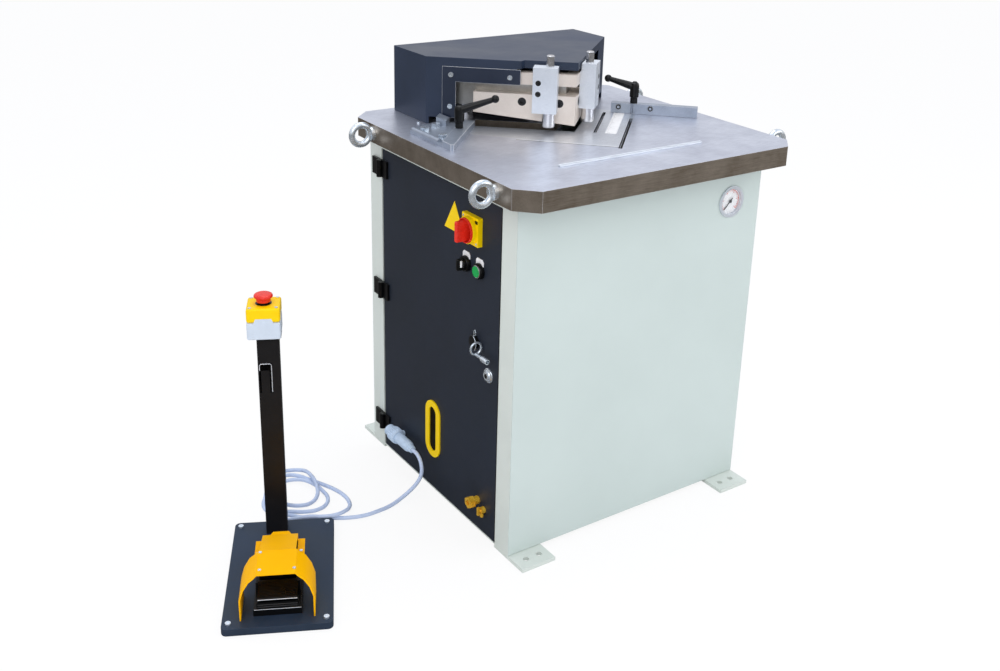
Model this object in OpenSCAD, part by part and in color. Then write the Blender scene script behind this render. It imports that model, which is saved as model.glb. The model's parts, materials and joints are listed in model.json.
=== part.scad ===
// Hydraulic corner-notching machine on a sheet-metal cabinet, with a foot pedal and stop button
// on a floor stand joined to the cabinet by a control cable.
// Millimetres, +Z up. Origin on the floor under the middle of the cabinet; +X to the right along
// the front sheet (which faces -Y); the door is on the -X face.

/* [Cabinet] */
// Width of the cabinet across its front
cabinet_width = 700; // [690:5:730]
// Depth of the cabinet from front sheet to back sheet
cabinet_depth = 646; // [636:2:660]
// Height of the table top above the floor
table_height = 900; // [885:5:940]
// Thickness of the sheet panels
sheet = 2; // [1.5:0.5:3]
// Width of a corner post along the side face
post_width = 58; // [54:1:62]
// Thickness of the foot plates
foot_thick = 9; // [7:1:10]
// How far a foot plate stands out beyond the sheet
foot_reach = 58; // [52:2:70]
// Diameter of the floor bolt holes
foot_hole = 14; // [12:1:16]

/* [Table] */
// Thickness of the table plate
plate_thick = 22; // [20:1:26]
// Height of the table edge seen from the side
edge_height = 46; // [40:1:50]
// Width of the rim under the table edge
rim_width = 18; // [14:1:20]
// Corner chamfer of the table
table_chamfer = 44; // [30:2:60]
// Depth of the recess for the flush deck plates
deck_depth = 10; // [8:1:12]
// Width of the sliding fence slot
slot_width = 8.6; // [8:0.2:10]

/* [Cutting head] */
// Half of the angle between the knives, in degrees
knife_half_angle = 48; // [47:0.5:49]
// Length of an upper knife
knife_length = 254; // [244:2:256]
// Thickness of an upper knife
knife_thick = 28; // [26:1:30]
// Rise of the knife edge from the tip to the far end
knife_rise = 22; // [18:1:26]
// Working stroke of the ram
stroke = 38; // [30:1:38]
// Diameter of the guide columns
column_dia = 40; // [36:1:44]
// Diameter of the piston rod
rod_dia = 45; // [40:1:48]
// Bore of the oil cylinder
bore_dia = 80; // [70:2:84]
// Diameter of a hold-down foot
hold_dia = 31; // [28:1:32]
// Diameter of the rod above a hold-down foot
hold_rod = 19; // [16:1:20]
// Height of the head cover above the table
cover_height = 162; // [160:1:180]

/* [Door] */
// Thickness of the door
door_thick = 18; // [16:1:22]
// Diameter of a hinge pin
hinge_pin = 6; // [5:0.5:7]
// Diameter of the pressure gauge
gauge_dia = 76; // [70:2:90]
// Diameter of the push button cap
button_dia = 28; // [26:1:29]

/* [Foot switch stand] */
// Length of the stand's floor plate
stand_length = 378; // [370:2:400]
// Width of the stand's floor plate
stand_width = 228; // [220:2:240]
// Thickness of the stand's floor plate
stand_thick = 17; // [14:1:17]
// Height of the top of the post above the floor
post_top = 514; // [480:1:560]
// Side of the square stop button box
stop_box = 72; // [68:1:80]
// Diameter of the stop button's cap
stop_cap = 41; // [38:1:46]
// Diameter of the control cable
cable_dia = 9.5; // [9:0.5:10]

/* [Fits] */
// Radial clearance of shafts, pins and sliding columns
fit = 0.05; // [0.03:0.01:0.09]
// Clearance between faces that move past each other
gap = 0.4; // [0.4:0.1:0.6]

/* [Hidden] */
$fn = 48;
eps = 1;

// Cabinet: half sizes, post depth across the front, floor tray, rail height under the table
hw = cabinet_width / 2;
hd = cabinet_depth / 2;
top = table_height;
under = top - plate_thick;
inner_y = hd - post_width;
post_deep = 40;
tray_thick = 3;
tray_top = foot_thick + tray_thick;
rail_height = 50;
foot_wide = 91;
foot_row_x = [hw - 66, hw - 30];
foot_row_y = hd + 28;
table_x = hw + 40;
table_front = -hd - 76;
table_back = hd + 30;

// Knife frame: +X along the left knife, +Y out of its face. The right knife is its mirror image
// about nose_x, a little left of the cover's own middle
nose_y = -64;
nose_x = -8.5;
half = knife_half_angle;
knife_turn = 90 + half;
knife_end = knife_length + 4;
blade_gap = gap;
seam = 0.1;
recess_lap = 4;
blade_out = 20;
blade_depth = 38;
scrap_back = 60;
die_wide = 56;
die_high = 40;
knife_tip = top + 12.5;
knife_top = top + 83;
ram_bottom = top + 45;
ram_top = top + 134;
ram_half = 215;
ram_back = 240;
bar_bottom = ram_top - 28;
bar_length = 150;
column_x = 150;
column_y = 200;
column_top = top + 156;
rod_y_pos = 120;
spigot_dia = 36;
nut_flats = 55;
nut_high = 16;

// Head cover: plan corners and front openings
cover_x = 276;
cover_back = 334;
cover_left = 4.5;
cover_nose = -10.4;
step_near = 135;
step_far = 141;
cover_top = top + cover_height;
band_bottom = cover_top - 19;
sill = top + 17;
window_end = 295;
window_top = top + 105;
side_plate_t = 1.5;
side_plate_end = 328;
side_plate_top = top + 141;
side_plate_near = 142;
side_screws = [[307, top + 122], [167, top + 122], [309, top + 46]];

// Hold-down feet
hold_x = 72;
hold_y = 19;
block_x0 = 53;
block_x1 = 110;
block_y = 38;
block_bottom = top + 47.5;
block_top = top + 136;
cap_thick = 19;
cap_back = 3;
hold_bottom = top + 13;
hold_top = top + 65;
hold_rod_top = top + 182;
block_screw_x = 97;
block_screw_z = [top + 93, top + 119];
block_screw_head = 13;
block_screw_dia = 8;
knife_screw_x = [50, 138];
knife_screw_z = top + 65;
knife_screw_head = 20;
knife_screw_deep = 12;
knife_screw_dia = 12;
screw_depth = 60;
spring_wire = 3;
spring_turns = 7;
spring_steps = 16;

// Oil cylinder under the table
barrel_wall = 10;
flange_dia = 140;
flange_thick = 28;
barrel_top = under - flange_thick;
barrel_length = stroke + 112;
piston_thick = 25;
piston_top = barrel_top - 5;
table_rod_hole = rod_dia + 7;

// Deck plates on the table, in a frame at 45 degrees from their front tip
tip = [-4, -215];
deck_left = [-237, 41];
seam_x = 115;
scale_end = 350;
scale_wide = 64;
deck_run = deck_left - tip;
deck_near = -scale_wide * (deck_run[0] + deck_run[1]) / (deck_run[0] - deck_run[1]);
slot_step = 1.5;
slot_near = -9;
slot_far = 366;
inner_slot = 7.5;
inner_slot_x = [116, 326];
inlay_x = [117, 340];
inlay_y = [-44, -17];
inlay_depth = 1;

// Fences
left_face = [-349, -69];
left_turn = 45.7;
left_length = 223;
fence_wide = 32;
left_fence_high = 16;
base_high = 8;
left_hub = [147, 21];
fence_bolt_at = [[-331, 88], [-290, 108], [-325, 18]];
bolt_dia = 12;
bolt_flats = 19;
bolt_head = 7.5;
stud_dia = 10;
hub_dia = 23;
hub_high = 42;
ball_dia = 20;
arm_dia = 9;
right_face = [343.5, -98.5];
right_length = 216;
right_thick = 20;
right_high = 26;
right_hub = [160, -8];
key_x = [275, 350];

// Inside the cabinet
stow_gap = 33;
tank_x = 250;
tank_y = [20, hd - stow_gap];
tank_high = 220;
tank_wall = 3;
lid_thick = 8;
tank_top = tray_top + tank_high;
motor_at = [120, 160];
motor_dia = 150;
motor_high = 220;
motor_wall = 8;
rotor_dia = 120;
shaft_dia = 24;
valve_at = [-100, 160];
pipe_dia = 14;
bin_x = 210;
bin_y = [-hd + stow_gap, 0];
bin_high = 190;

// Door and what it carries; heights are above the floor
door_front = -hd + post_width + 1;
door_back = inner_y - 6;
door_bottom = tray_top + 1;
door_top = under - rail_height - 1;
axis_x = -hw - 8;
axis_y = inner_y - 3;
hinge_z = [83, top - 442, top - 121];
hinge_high = 43;
knuckle = 15;
leaf_thick = 6;
switch_at = [door_front + 105, top - 150];
selector_at = [door_front + 134, top - 240];
push_at = [door_front + 79.5, top - 240];
bezel_dia = 38;
legend_thick = 1.5;
shaft_small = 12;
boss_at = [door_front + 94, top - 415];
wire_at = [-18, 15];
wire_radius = 16;
wire_dia = 2.6;
key_ring = [14, 4];
key_drop = [-6.2, -12, -1];
wire_off = 11;
lock_at = [door_front + 37, top - 475];
lock_dia = 20;
window_at = [11, 177];
coupling_at = [-193, 88];
coupling_long = 28;
cock_at = [-220, 76];
triangle_at = [door_front + 187, top - 110];
gauge_at = [hw - 93, top - 140];
gauge_deep = 4;
gauge_bed = 4;
gauge_body = 10;
spindle_dia = 4;
plug_at = [-hw - 26, 68, 96];
plug_dia = 28;
push_travel = 4;

// Stand: its own frame, +X across the plate and +Y from the pedal to the post
stand_at = [-806, -105, 0];
stand_turn = -26;
post_u = [-40, 8];
post_v = [138, 168];
post_wall = 3;
post_cap = 4;
stop_at = [-22, 154];
stop_split = 45;
stop_lid_high = 27;
collar_high = 6;
stop_collar = 26;
stop_skirt = 31.5;
stop_travel = 4;
stop_stem = 20;
pedal_axis = [-107, 63];
pedal_half = 41;
pedal_pin = 6;
guard_half = 77;
guard_v = [-165, -83];
guard_sheet = 3;
guard_top = 127;
gland_z = 58;
gland_long = 16;

// Cable: middle points from the plug on the door to the gland on the post
cable_points = [
    [-376, 68, 96], [-376, 50, 96], [-377, 32, 89], [-379, 19, 75], [-384, 13, 56], [-397, 12, 37],
    [-417, 12, 22], [-444, 10, 10], [-477, 3, 5], [-513, -1, 5], [-548, 0, 5], [-583, 11, 5],
    [-615, 29, 5], [-647, 50, 5], [-677, 71, 5], [-699, 96, 5], [-723, 113, 5], [-737, 139, 5],
    [-735, 168, 5], [-720, 194, 5], [-704, 221, 5], [-684, 244, 5], [-661, 262, 6], [-632, 262, 5],
    [-610, 245, 5], [-596, 219, 5], [-582, 192, 5], [-568, 163, 5], [-557, 134, 5], [-551, 103, 5],
    [-553, 73, 6], [-565, 45, 10], [-587, 26, 16], [-617, 21, 18], [-643, 34, 16], [-667, 51, 15],
    [-690, 67, 10], [-713, 80, 6], [-732, 95, 13], [-741, 118, 16], [-734, 144, 18], [-720, 167, 8],
    [-706, 193, 5], [-691, 218, 5], [-669, 235, 5], [-643, 237, 6], [-620, 223, 9], [-607, 199, 14],
    [-594, 172, 11], [-590, 143, 10], [-590, 114, 7], [-605, 91, 5], [-632, 81, 5], [-660, 88, 5],
    [-685, 104, 5], [-707, 121, 6], [-715, 145, 15], [-713, 173, 19], [-709, 203, 16],
    [-698, 233, 17], [-679, 258, 18], [-655, 276, 14], [-627, 278, 8], [-602, 265, 9],
    [-590, 238, 15], [-590, 208, 18], [-597, 179, 28], [-601, 150, 22], [-612, 128, 10],
    [-634, 116, 5], [-659, 117, 6], [-682, 125, 10], [-702, 123, 23], [-715, 110, 36],
    [-723, 100, 49], [-730, 88, 56], [-735.3, 76.4, 58], [-739.7, 67.4, 58]
];
cable_lift = (cable_dia - 9.5) / 2;

// Helpers --------------------------------------------------------------------------------------

function unit(v) = v / norm(v);
function tangent(p, i) = unit(p[min(i + 1, len(p) - 1)] - p[max(i - 1, 0)]);
function carried(s, t) = unit(s - t * (s * t));
function sides(p, i, s) = i >= len(p) ? [] :
    let (n = carried(s, tangent(p, i))) concat([n], sides(p, i + 1, n));
function ring(c, t, s, r, n) =
    [for (k = [0 : n - 1]) c + r * cos(360 * k / n) * s + r * sin(360 * k / n) * cross(t, s)];

// Apex of the V plane lying c outside the knife face, and the plane's y at a given x
function apex(c) = nose_y - nose_x / tan(half) - c / sin(half);
function vee(c, x) = apex(c) + abs(x - nose_x) / tan(half);
function cover_apex(c) = nose_y - c / sin(half);
function cover_vee(c, x) = cover_apex(c) + abs(x) / tan(half);
function left_point(x, y) =
    [x * cos(knife_turn) - y * sin(knife_turn), nose_y + x * sin(knife_turn) + y * cos(knife_turn)];
function mitre(y) = (seam - nose_x) / sin(half) - y / tan(half);
function mirrored(p) = [2 * nose_x - p[0], p[1]];
function chevron(x_end, y0, y1) = [[nose_x, apex(y1)], left_point(x_end, y1), left_point(x_end, y0),
    [nose_x, apex(y0)], mirrored(left_point(x_end, y0)), mirrored(left_point(x_end, y1))];
function deck(x, y) = tip + [x + y, x - y] / sqrt(2);
function faded(i, n) = max(0, 1 - i / n);

module tube(p, r, n, first) {
    s = sides(p, 0, first);
    last = len(p) - 1;
    points = [for (i = [0 : last]) each ring(p[i], tangent(p, i), s[i], r, n)];
    walls = [for (i = [0 : last - 1]) for (k = [0 : n - 1])
        [i * n + k, (i + 1) * n + k, (i + 1) * n + (k + 1) % n, i * n + (k + 1) % n]];
    start = [for (k = [0 : n - 1]) k];
    end = [for (k = [n - 1 : -1 : 0]) last * n + k];
    polyhedron(points, concat([start], walls, [end]));
}

module box(x, y, z) {
    translate([x[0], y[0], z[0]])
        cube([x[1] - x[0], y[1] - y[0], z[1] - z[0]]);
}

module along_x(d, x0, x1) {
    translate([x0, 0, 0])
        rotate([0, 90, 0])
            cylinder(d = d, h = x1 - x0);
}

module along_y(d, y0, y1) {
    translate([0, y1, 0])
        rotate([90, 0, 0])
            cylinder(d = d, h = y1 - y0);
}

module along_z(d, z0, z1) {
    translate([0, 0, z0])
        cylinder(d = d, h = z1 - z0);
}

module prism(points, z0, z1) {
    translate([0, 0, z0])
        linear_extrude(height = z1 - z0)
            polygon(points);
}

module hexagon(flats, high) {
    cylinder(d = flats / cos(30), h = high, $fn = 6);
}

module rounded(w, d, h, r) {
    translate([-w / 2, -d / 2 + r, 0])
        cube([w, d - 2 * r, h]);
    translate([-w / 2 + r, -d / 2, 0])
        cube([w - 2 * r, d, h]);
    for (x = [-w / 2 + r, w / 2 - r])
        for (y = [-d / 2 + r, d / 2 - r])
            translate([x, y, 0])
                cylinder(r = r, h = h);
}

module on_left() {
    translate([0, nose_y, 0])
        rotate([0, 0, knife_turn])
            children();
}

module on_right() {
    translate([2 * nose_x, 0, 0])
        mirror([1, 0, 0])
            on_left()
                children();
}

module on_cover_right() {
    mirror([1, 0, 0])
        on_left()
            children();
}

module on_both() {
    on_left()
        children();
    on_right()
        children();
}

// A bar along a knife face, cut on the mitre at the nose
module mitred(x_end, y, z) {
    prism([[mitre(y[0]), y[0]], [x_end, y[0]], [x_end, y[1]], [mitre(y[1]), y[1]]], z[0], z[1]);
}

module at_door(yz) {
    translate([0, yz[0], yz[1]])
        children();
}

module on_stand() {
    translate(stand_at)
        rotate([0, 0, stand_turn])
            children();
}

module left_frame() {
    translate([left_face[0], left_face[1], 0])
        rotate([0, 0, left_turn])
            children();
}

module right_frame() {
    translate([right_face[0], right_face[1], 0])
        rotate([0, 0, 135])
            children();
}

// Cabinet --------------------------------------------------------------------------------------

module foot_plate() {
    difference() {
        box([hw - foot_wide, hw], [inner_y, hd + foot_reach], [0, foot_thick]);
        for (x = foot_row_x)
            translate([x, foot_row_y, 0])
                along_z(foot_hole, -eps, foot_thick + eps);
    }
}

module cabinet_frame() {
    rail_z = [under - rail_height, under];
    color("gainsboro") {
        for (mx = [0, 1])
            for (my = [0, 1])
                mirror([mx, 0, 0])
                    mirror([0, my, 0]) {
                        foot_plate();
                        box([hw - post_deep, hw], [inner_y, hd - sheet], [foot_thick, under]);
                        box([hw - post_deep, hw], [-eps, inner_y], rail_z);
                        box([-eps, hw - post_deep], [hd - sheet - post_deep, hd - sheet], rail_z);
                    }
        box([-hw, hw], [-hd + sheet, hd - sheet], [foot_thick, tray_top]);
    }
}

module body_panels() {
    panel_z = [foot_thick + 1, under];
    color("lightgray") {
        difference() {
            box([-hw, hw], [-hd, -hd + sheet], panel_z);
            translate([gauge_at[0], 0, gauge_at[1]])
                along_y(gauge_dia - 8, -hd - eps, -hd + sheet + eps);
        }
        difference() {
            box([-hw, hw], [hd - sheet, hd], panel_z);
            for (z = [500 : 40 : 660])
                box([-90, 90], [hd - sheet - eps, hd + eps], [z, z + 8]);
        }
        difference() {
            box([hw - sheet, hw], [-inner_y, inner_y], [tray_top, under - rail_height]);
            for (z = [500 : 40 : 660])
                box([hw - sheet - eps, hw + eps], [-90, 90], [z, z + 8]);
        }
    }
}

// Table ----------------------------------------------------------------------------------------

module table_outline(s, z0, z1) {
    c = table_chamfer;
    x = table_x - s;
    f = table_front + s;
    b = table_back - s;
    k = c - s * (2 - sqrt(2));
    prism([[-x + k, f], [x - k, f], [x, f + k], [x, b - k], [x - k, b], [-x + k, b],
        [-x, b - k], [-x, f + k]], z0, z1);
}

module deck_recess() {
    far = left_point(knife_end, blade_out);
    inner = left_point(knife_end - 1, blade_out - recess_lap);
    prism([tip, deck(slot_near, 0), deck(slot_near, slot_width), deck(slot_far, slot_width),
        deck(slot_far, 0), deck(scale_end, 0), deck(scale_end, -scale_wide), mirrored(far),
        mirrored(inner), [nose_x, apex(blade_out - recess_lap)], inner, far, deck_left],
        top - deck_depth, top + eps);
}

// The narrow way through the plate under a slot of the deck
module slot_cut(x, y) {
    s = slot_step;
    prism([deck(x[0] + s, y[0] + s), deck(x[0] + s, y[1] - s), deck(x[1] - s, y[1] - s),
        deck(x[1] - s, y[0] + s)], under - eps, top + eps);
}

module table_top() {
    color("silver")
        difference() {
            table_outline(0, top - edge_height, top);
            table_outline(rim_width, top - edge_height - eps, under);
            deck_recess();
            slot_cut([slot_near, slot_far], [0, slot_width]);
            slot_cut(inner_slot_x, [-scale_wide - inner_slot, -scale_wide]);
            prism(chevron(knife_end, -scrap_back, blade_out), under - eps, top + eps);
            translate([0, rod_y_pos, 0])
                along_z(table_rod_hole, under - eps, top + eps);
            for (x = [-column_x, column_x])
                translate([x, column_y, 0])
                    along_z(column_dia, under - eps, top + eps);
            for (p = fence_bolt_at)
                translate([p[0], p[1], 0])
                    along_z(bolt_dia, under - eps, top + eps);
            eyebolt_places()
                along_x(16, -rim_width - eps, eps);
        }
}

module eyebolt_places() {
    for (m = [0, 1])
        mirror([m, 0, 0])
            for (y = [-294, 234])
                translate([table_x, y, top - edge_height / 2])
                    children();
}

module eyebolts() {
    color("lightsteelblue")
        eyebolt_places() {
            along_x(16, -rim_width, 1);
            along_x(34, 0, 9);
            translate([31, 0, 0])
                rotate([90, 0, 0])
                    rotate_extrude()
                        translate([23.3, 0])
                            circle(d = 15);
        }
}

module deck_plates() {
    z0 = top - deck_depth;
    far = left_point(knife_end, blade_out);
    color("silver") {
        prism([tip, deck(seam_x, 0), deck(seam_x, -scale_wide), deck(deck_near, -scale_wide)], z0, top);
        difference() {
            prism([deck(seam_x, 0), deck(scale_end, 0), deck(scale_end, -scale_wide),
                deck(seam_x, -scale_wide)], z0, top);
            prism([deck(inlay_x[0], inlay_y[0]), deck(inlay_x[0], inlay_y[1]),
                deck(inlay_x[1], inlay_y[1]), deck(inlay_x[1], inlay_y[0])],
                top - inlay_depth, top + eps);
        }
        difference() {
            prism([deck(deck_near, -scale_wide), deck_left, far, [nose_x, apex(blade_out)],
                mirrored(far), deck(scale_end, -scale_wide)], z0, top);
            prism([deck(inner_slot_x[0], -scale_wide + eps),
                deck(inner_slot_x[0], -scale_wide - inner_slot),
                deck(inner_slot_x[1], -scale_wide - inner_slot),
                deck(inner_slot_x[1], -scale_wide + eps)], z0 - eps, top + eps);
        }
    }
}

module rest_rod() {
    color("gray") {
        box([-212, 186], [-280, -272], [top, top + 5]);
        for (x = [-212, 186])
            translate([x, -276, 0])
                along_z(8, top, top + 5);
    }
}

module lower_blades() {
    color("silver")
        on_both()
            mitred(knife_end, [blade_gap, blade_out], [top - blade_depth, top]);
}

module die_block() {
    color("dimgray")
        difference() {
            prism(chevron(knife_end, 0, die_wide), under - die_high, under);
            prism(chevron(knife_end + eps, -eps, blade_out), top - blade_depth, under + eps);
        }
}

// Cutting head ---------------------------------------------------------------------------------

function cover_outline(s) = [[-cover_x + s, cover_back - s], [cover_x - s, cover_back - s],
    [cover_x - s, cover_vee(cover_nose - s, cover_x - s)], [0, cover_apex(cover_nose - s)],
    left_point(step_near + s, cover_nose - s), left_point(step_far + s, cover_left - s),
    [-cover_x + s, cover_vee(cover_left - s, cover_x - s)]];

module head_cover() {
    color("slategray")
        difference() {
            prism(cover_outline(0), top, cover_top);
            prism(cover_outline(sheet), top - eps, cover_top - sheet);
            on_left() {
                box([-80, bar_length + 1], [-60, 60], [top - eps, band_bottom]);
                box([-80, window_end + 5], [-60, 60], [top - eps, window_top + 5]);
                box([-80, 360], [-60, 60], [top - eps, sill]);
            }
            on_cover_right() {
                box([-80, window_end], [-60, 60], [top - eps, band_bottom]);
                box([-80, 374], [-60, 60], [top - eps, sill]);
            }
        }
}

module cover_plate() {
    y = [cover_left, cover_left + side_plate_t];
    color("dimgray")
        on_left() {
            box([window_end, side_plate_end], y, [sill + 1, side_plate_top]);
            box([side_plate_near, side_plate_end], y, [window_top, side_plate_top]);
        }
}

module guide_columns() {
    color("silver")
        for (x = [-column_x, column_x])
            translate([x, column_y, 0])
                along_z(column_dia, under, column_top);
}

module block_screw_places() {
    for (z = block_screw_z)
        translate([block_screw_x, 0, z])
            children();
}

module knife_screw_places() {
    for (x = knife_screw_x)
        translate([x, 0, knife_screw_z])
            children();
}

module ram() {
    front = -knife_thick;
    color("gray")
        difference() {
            prism([[nose_x, apex(front)], [ram_half, vee(front, ram_half)], [ram_half, ram_back],
                [-ram_half, ram_back], [-ram_half, vee(front, -ram_half)]], ram_bottom, ram_top);
            for (x = [-column_x, column_x])
                translate([x, column_y, 0])
                    along_z(column_dia + 2 * fit, ram_bottom - eps, ram_top + eps);
            translate([0, rod_y_pos, 0])
                along_z(spigot_dia, ram_bottom - eps, ram_top + eps);
            on_both() {
                knife_screw_places()
                    along_y(knife_screw_dia, -screw_depth, 0);
                block_screw_places()
                    along_y(block_screw_dia, -screw_depth, 0);
            }
        }
}

module clamp_bars() {
    color("tan")
        difference() {
            on_both()
                mitred(bar_length, [-knife_thick, 0], [bar_bottom, ram_top]);
            on_both()
                block_screw_places()
                    along_y(block_screw_dia, -screw_depth, eps);
        }
}

module upper_knives() {
    lift = knife_rise / knife_length;
    color("tan")
        difference() {
            on_both()
                difference() {
                    mitred(knife_length, [-knife_thick, 0], [knife_tip - 10, knife_top]);
                    translate([0, -knife_thick - eps, 0])
                        rotate([90, 0, 0])
                            mirror([0, 0, 1])
                                linear_extrude(height = knife_thick + 2 * eps)
                                    polygon([[-60, knife_tip - 60],
                                        [knife_length + 10, knife_tip - 60],
                                        [knife_length + 10, knife_tip + lift * (knife_length + 10)],
                                        [0, knife_tip], [-60, knife_tip]]);
                }
            on_both()
                knife_screw_places() {
                    along_y(knife_screw_dia, -screw_depth, eps);
                    along_y(knife_screw_head, -knife_screw_deep, eps);
                }
        }
}

module head_screws() {
    color("black")
        on_both() {
            knife_screw_places()
                difference() {
                    union() {
                        along_y(knife_screw_dia, -screw_depth, -knife_screw_deep);
                        along_y(knife_screw_head, -knife_screw_deep, 0);
                    }
                    translate([0, -6, 0])
                        rotate([-90, 0, 0])
                            hexagon(10, 7);
                }
            block_screw_places()
                difference() {
                    union() {
                        along_y(block_screw_dia, -screw_depth, block_y - 8);
                        along_y(block_screw_head, block_y - 8, block_y);
                    }
                    translate([0, block_y - 4, 0])
                        rotate([-90, 0, 0])
                            hexagon(6, 5);
                }
        }
}

module hold_down_blocks() {
    color("silver")
        on_both()
            difference() {
                union() {
                    box([block_x0, block_x1], [0, block_y], [block_bottom, block_top]);
                    box([block_x0, block_x1], [cap_back, block_y], [block_top, block_top + cap_thick]);
                }
                translate([hold_x, hold_y, 0]) {
                    along_z(hold_dia + 2 * fit, block_bottom - eps, block_top);
                    along_z(hold_rod + 2 * fit, block_top - eps, block_top + cap_thick + eps);
                }
                block_screw_places() {
                    along_y(block_screw_dia, -eps, block_y + eps);
                    along_y(block_screw_head, block_y - 8, block_y + eps);
                }
            }
}

module hold_foot() {
    color("silver")
        translate([hold_x, hold_y, 0]) {
            translate([0, 0, hold_bottom])
                cylinder(d1 = hold_dia - 4, d2 = hold_dia, h = 2);
            along_z(hold_dia, hold_bottom + 2, hold_top);
            along_z(hold_rod, hold_top, hold_rod_top - 2);
            translate([0, 0, hold_rod_top - 2])
                cylinder(d1 = hold_rod, d2 = hold_rod - 4, h = 2);
        }
}

module foot_left() {
    on_left()
        hold_foot();
}

module foot_right() {
    on_right()
        hold_foot();
}

module coil() {
    r = (hold_dia + hold_rod) / 4;
    z0 = hold_top + spring_wire / 2;
    rise = block_top - hold_top - spring_wire;
    n = spring_turns * spring_steps;
    path = [for (i = [0 : n])
        [r * cos(360 * i / spring_steps), r * sin(360 * i / spring_steps), z0 + rise * i / n]];
    color("silver")
        translate([hold_x, hold_y, 0])
            tube(path, spring_wire / 2, 6, [1, 0, 0]);
}

module spring_left() {
    on_left()
        coil();
}

module spring_right() {
    on_right()
        coil();
}

// Fences ---------------------------------------------------------------------------------------

module left_fence() {
    color("dimgray")
        difference() {
            left_frame()
                prism([[0, 0], [left_length, 0], [left_length, fence_wide], [27, fence_wide],
                    [0, 7]], top, top + left_fence_high);
            left_frame()
                translate([left_hub[0], left_hub[1], 0])
                    along_z(stud_dia, top - eps, top + left_fence_high + eps);
        }
}

module fence_base() {
    z = top + base_high;
    ends = [for (x = [27, left_length])
        [left_face[0] + x * cos(left_turn) - fence_wide * sin(left_turn),
            left_face[1] + x * sin(left_turn) + fence_wide * cos(left_turn)]];
    color("gray") {
        difference() {
            prism([ends[0], [-356, 112], [-300, 145], [-245, 150], ends[1]], top, z);
            for (p = fence_bolt_at)
                translate([p[0], p[1], 0])
                    along_z(bolt_dia, top - eps, z + eps);
        }
        box([-356, -344], [-10, 108], [z - eps, z + 2]);
        translate([-350, 0, z + 2])
            intersection() {
                along_y(12, -10, 108);
                box([-8, 8], [-20, 120], [-1, 8]);
            }
        translate([-260, 126, z - eps])
            rotate([0, 0, left_turn])
                translate([-18, -12, 0])
                    rotate([90, 0, 90])
                        linear_extrude(height = 36)
                            polygon([[0, 0], [24, 0], [24, 22], [0, 14]]);
    }
}

module fence_bolts() {
    z = top + base_high;
    color("silver") {
        for (p = fence_bolt_at)
            translate([p[0], p[1], 0]) {
                along_z(bolt_dia, under, z + 1);
                along_z(22, z, z + 2);
                translate([0, 0, z + 2])
                    hexagon(bolt_flats, bolt_head);
            }
        translate([-291, 187, 0])
            along_z(8, top, top + 4);
        left_frame()
            translate([left_hub[0], left_hub[1], 0])
                along_z(stud_dia, top, top + left_fence_high + hub_high + 6);
    }
}

// A clamp lever: hub on a stud, arm rising to a ball; the stud stands on z0
module lever(z0, turn, reach, rise) {
    z1 = z0 + hub_high;
    slope = atan2(rise, reach);
    color("black")
        difference() {
            union() {
                along_z(hub_dia, z0 + gap, z1);
                translate([0, 0, z1])
                    cylinder(d1 = hub_dia, d2 = hub_dia - 6, h = 10);
                translate([0, 0, z1])
                    rotate([0, -slope, turn])
                        along_x(arm_dia, hub_dia / 4, norm([reach, rise]));
                translate([reach * cos(turn), reach * sin(turn), z1 + rise])
                    sphere(d = ball_dia);
            }
            along_z(stud_dia + 2 * fit, z0 - eps, z0 + hub_high + 7);
        }
}

module left_lever() {
    left_frame()
        translate([left_hub[0], left_hub[1], 0])
            lever(top + left_fence_high, -31 - left_turn, 82, 27);
}

module right_fence() {
    z0 = top + gap;
    z1 = top + right_high;
    color("dimgray") {
        right_frame() {
            difference() {
                box([0, right_length], [-right_thick, 0], [z0, z1]);
                translate([163, 0, 0])
                    along_z(7, z0 - eps, z1 + eps);
            }
            translate([right_hub[0], right_hub[1], 0])
                along_z(stud_dia, z1 - eps, z1 + hub_high + 6);
            for (x = [117, 197])
                translate([x, 0, top + 16])
                    along_y(13, -1, 3);
        }
        prism([deck(key_x[0], gap), deck(key_x[0], slot_width - gap),
            deck(key_x[1], slot_width - gap), deck(key_x[1], gap)],
            top - deck_depth + gap, z0 + eps);
    }
}

module right_lever() {
    right_frame()
        translate([right_hub[0], right_hub[1], 0])
            lever(top + right_high, -4.5, 68, 16);
}

// Oil cylinder and power pack ------------------------------------------------------------------

module cylinder_barrel() {
    outer = bore_dia + 2 * barrel_wall;
    bottom = barrel_top - barrel_length - barrel_wall;
    color("slategray")
        translate([0, rod_y_pos, 0])
            difference() {
                union() {
                    along_z(outer, bottom, barrel_top);
                    along_z(flange_dia, barrel_top, under);
                }
                along_z(bore_dia, bottom + barrel_wall, barrel_top);
                along_z(rod_dia + 2 * fit, barrel_top - eps, under + eps);
            }
}

module piston_rod() {
    color("silver")
        translate([0, rod_y_pos, 0]) {
            along_z(bore_dia - 2 * fit, piston_top - piston_thick, piston_top);
            along_z(rod_dia, piston_top, ram_bottom);
            along_z(spigot_dia, ram_bottom, ram_top + nut_high + 3);
            translate([0, 0, ram_top])
                hexagon(nut_flats, nut_high);
        }
}

module oil_tank() {
    x = tank_x;
    y = tank_y;
    color("steelblue")
        difference() {
            union() {
                box([-x, x], y, [tray_top, tank_top]);
                box([-x - 6, x + 6], [y[0] - 6, y[1] + 6], [tank_top, tank_top + lid_thick]);
            }
            box([-x + tank_wall, x - tank_wall], [y[0] + tank_wall, y[1] - tank_wall],
                [tray_top + tank_wall, tank_top]);
            translate([motor_at[0], motor_at[1], 0])
                along_z(60, tank_top - eps, tank_top + lid_thick + eps);
        }
}

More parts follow.
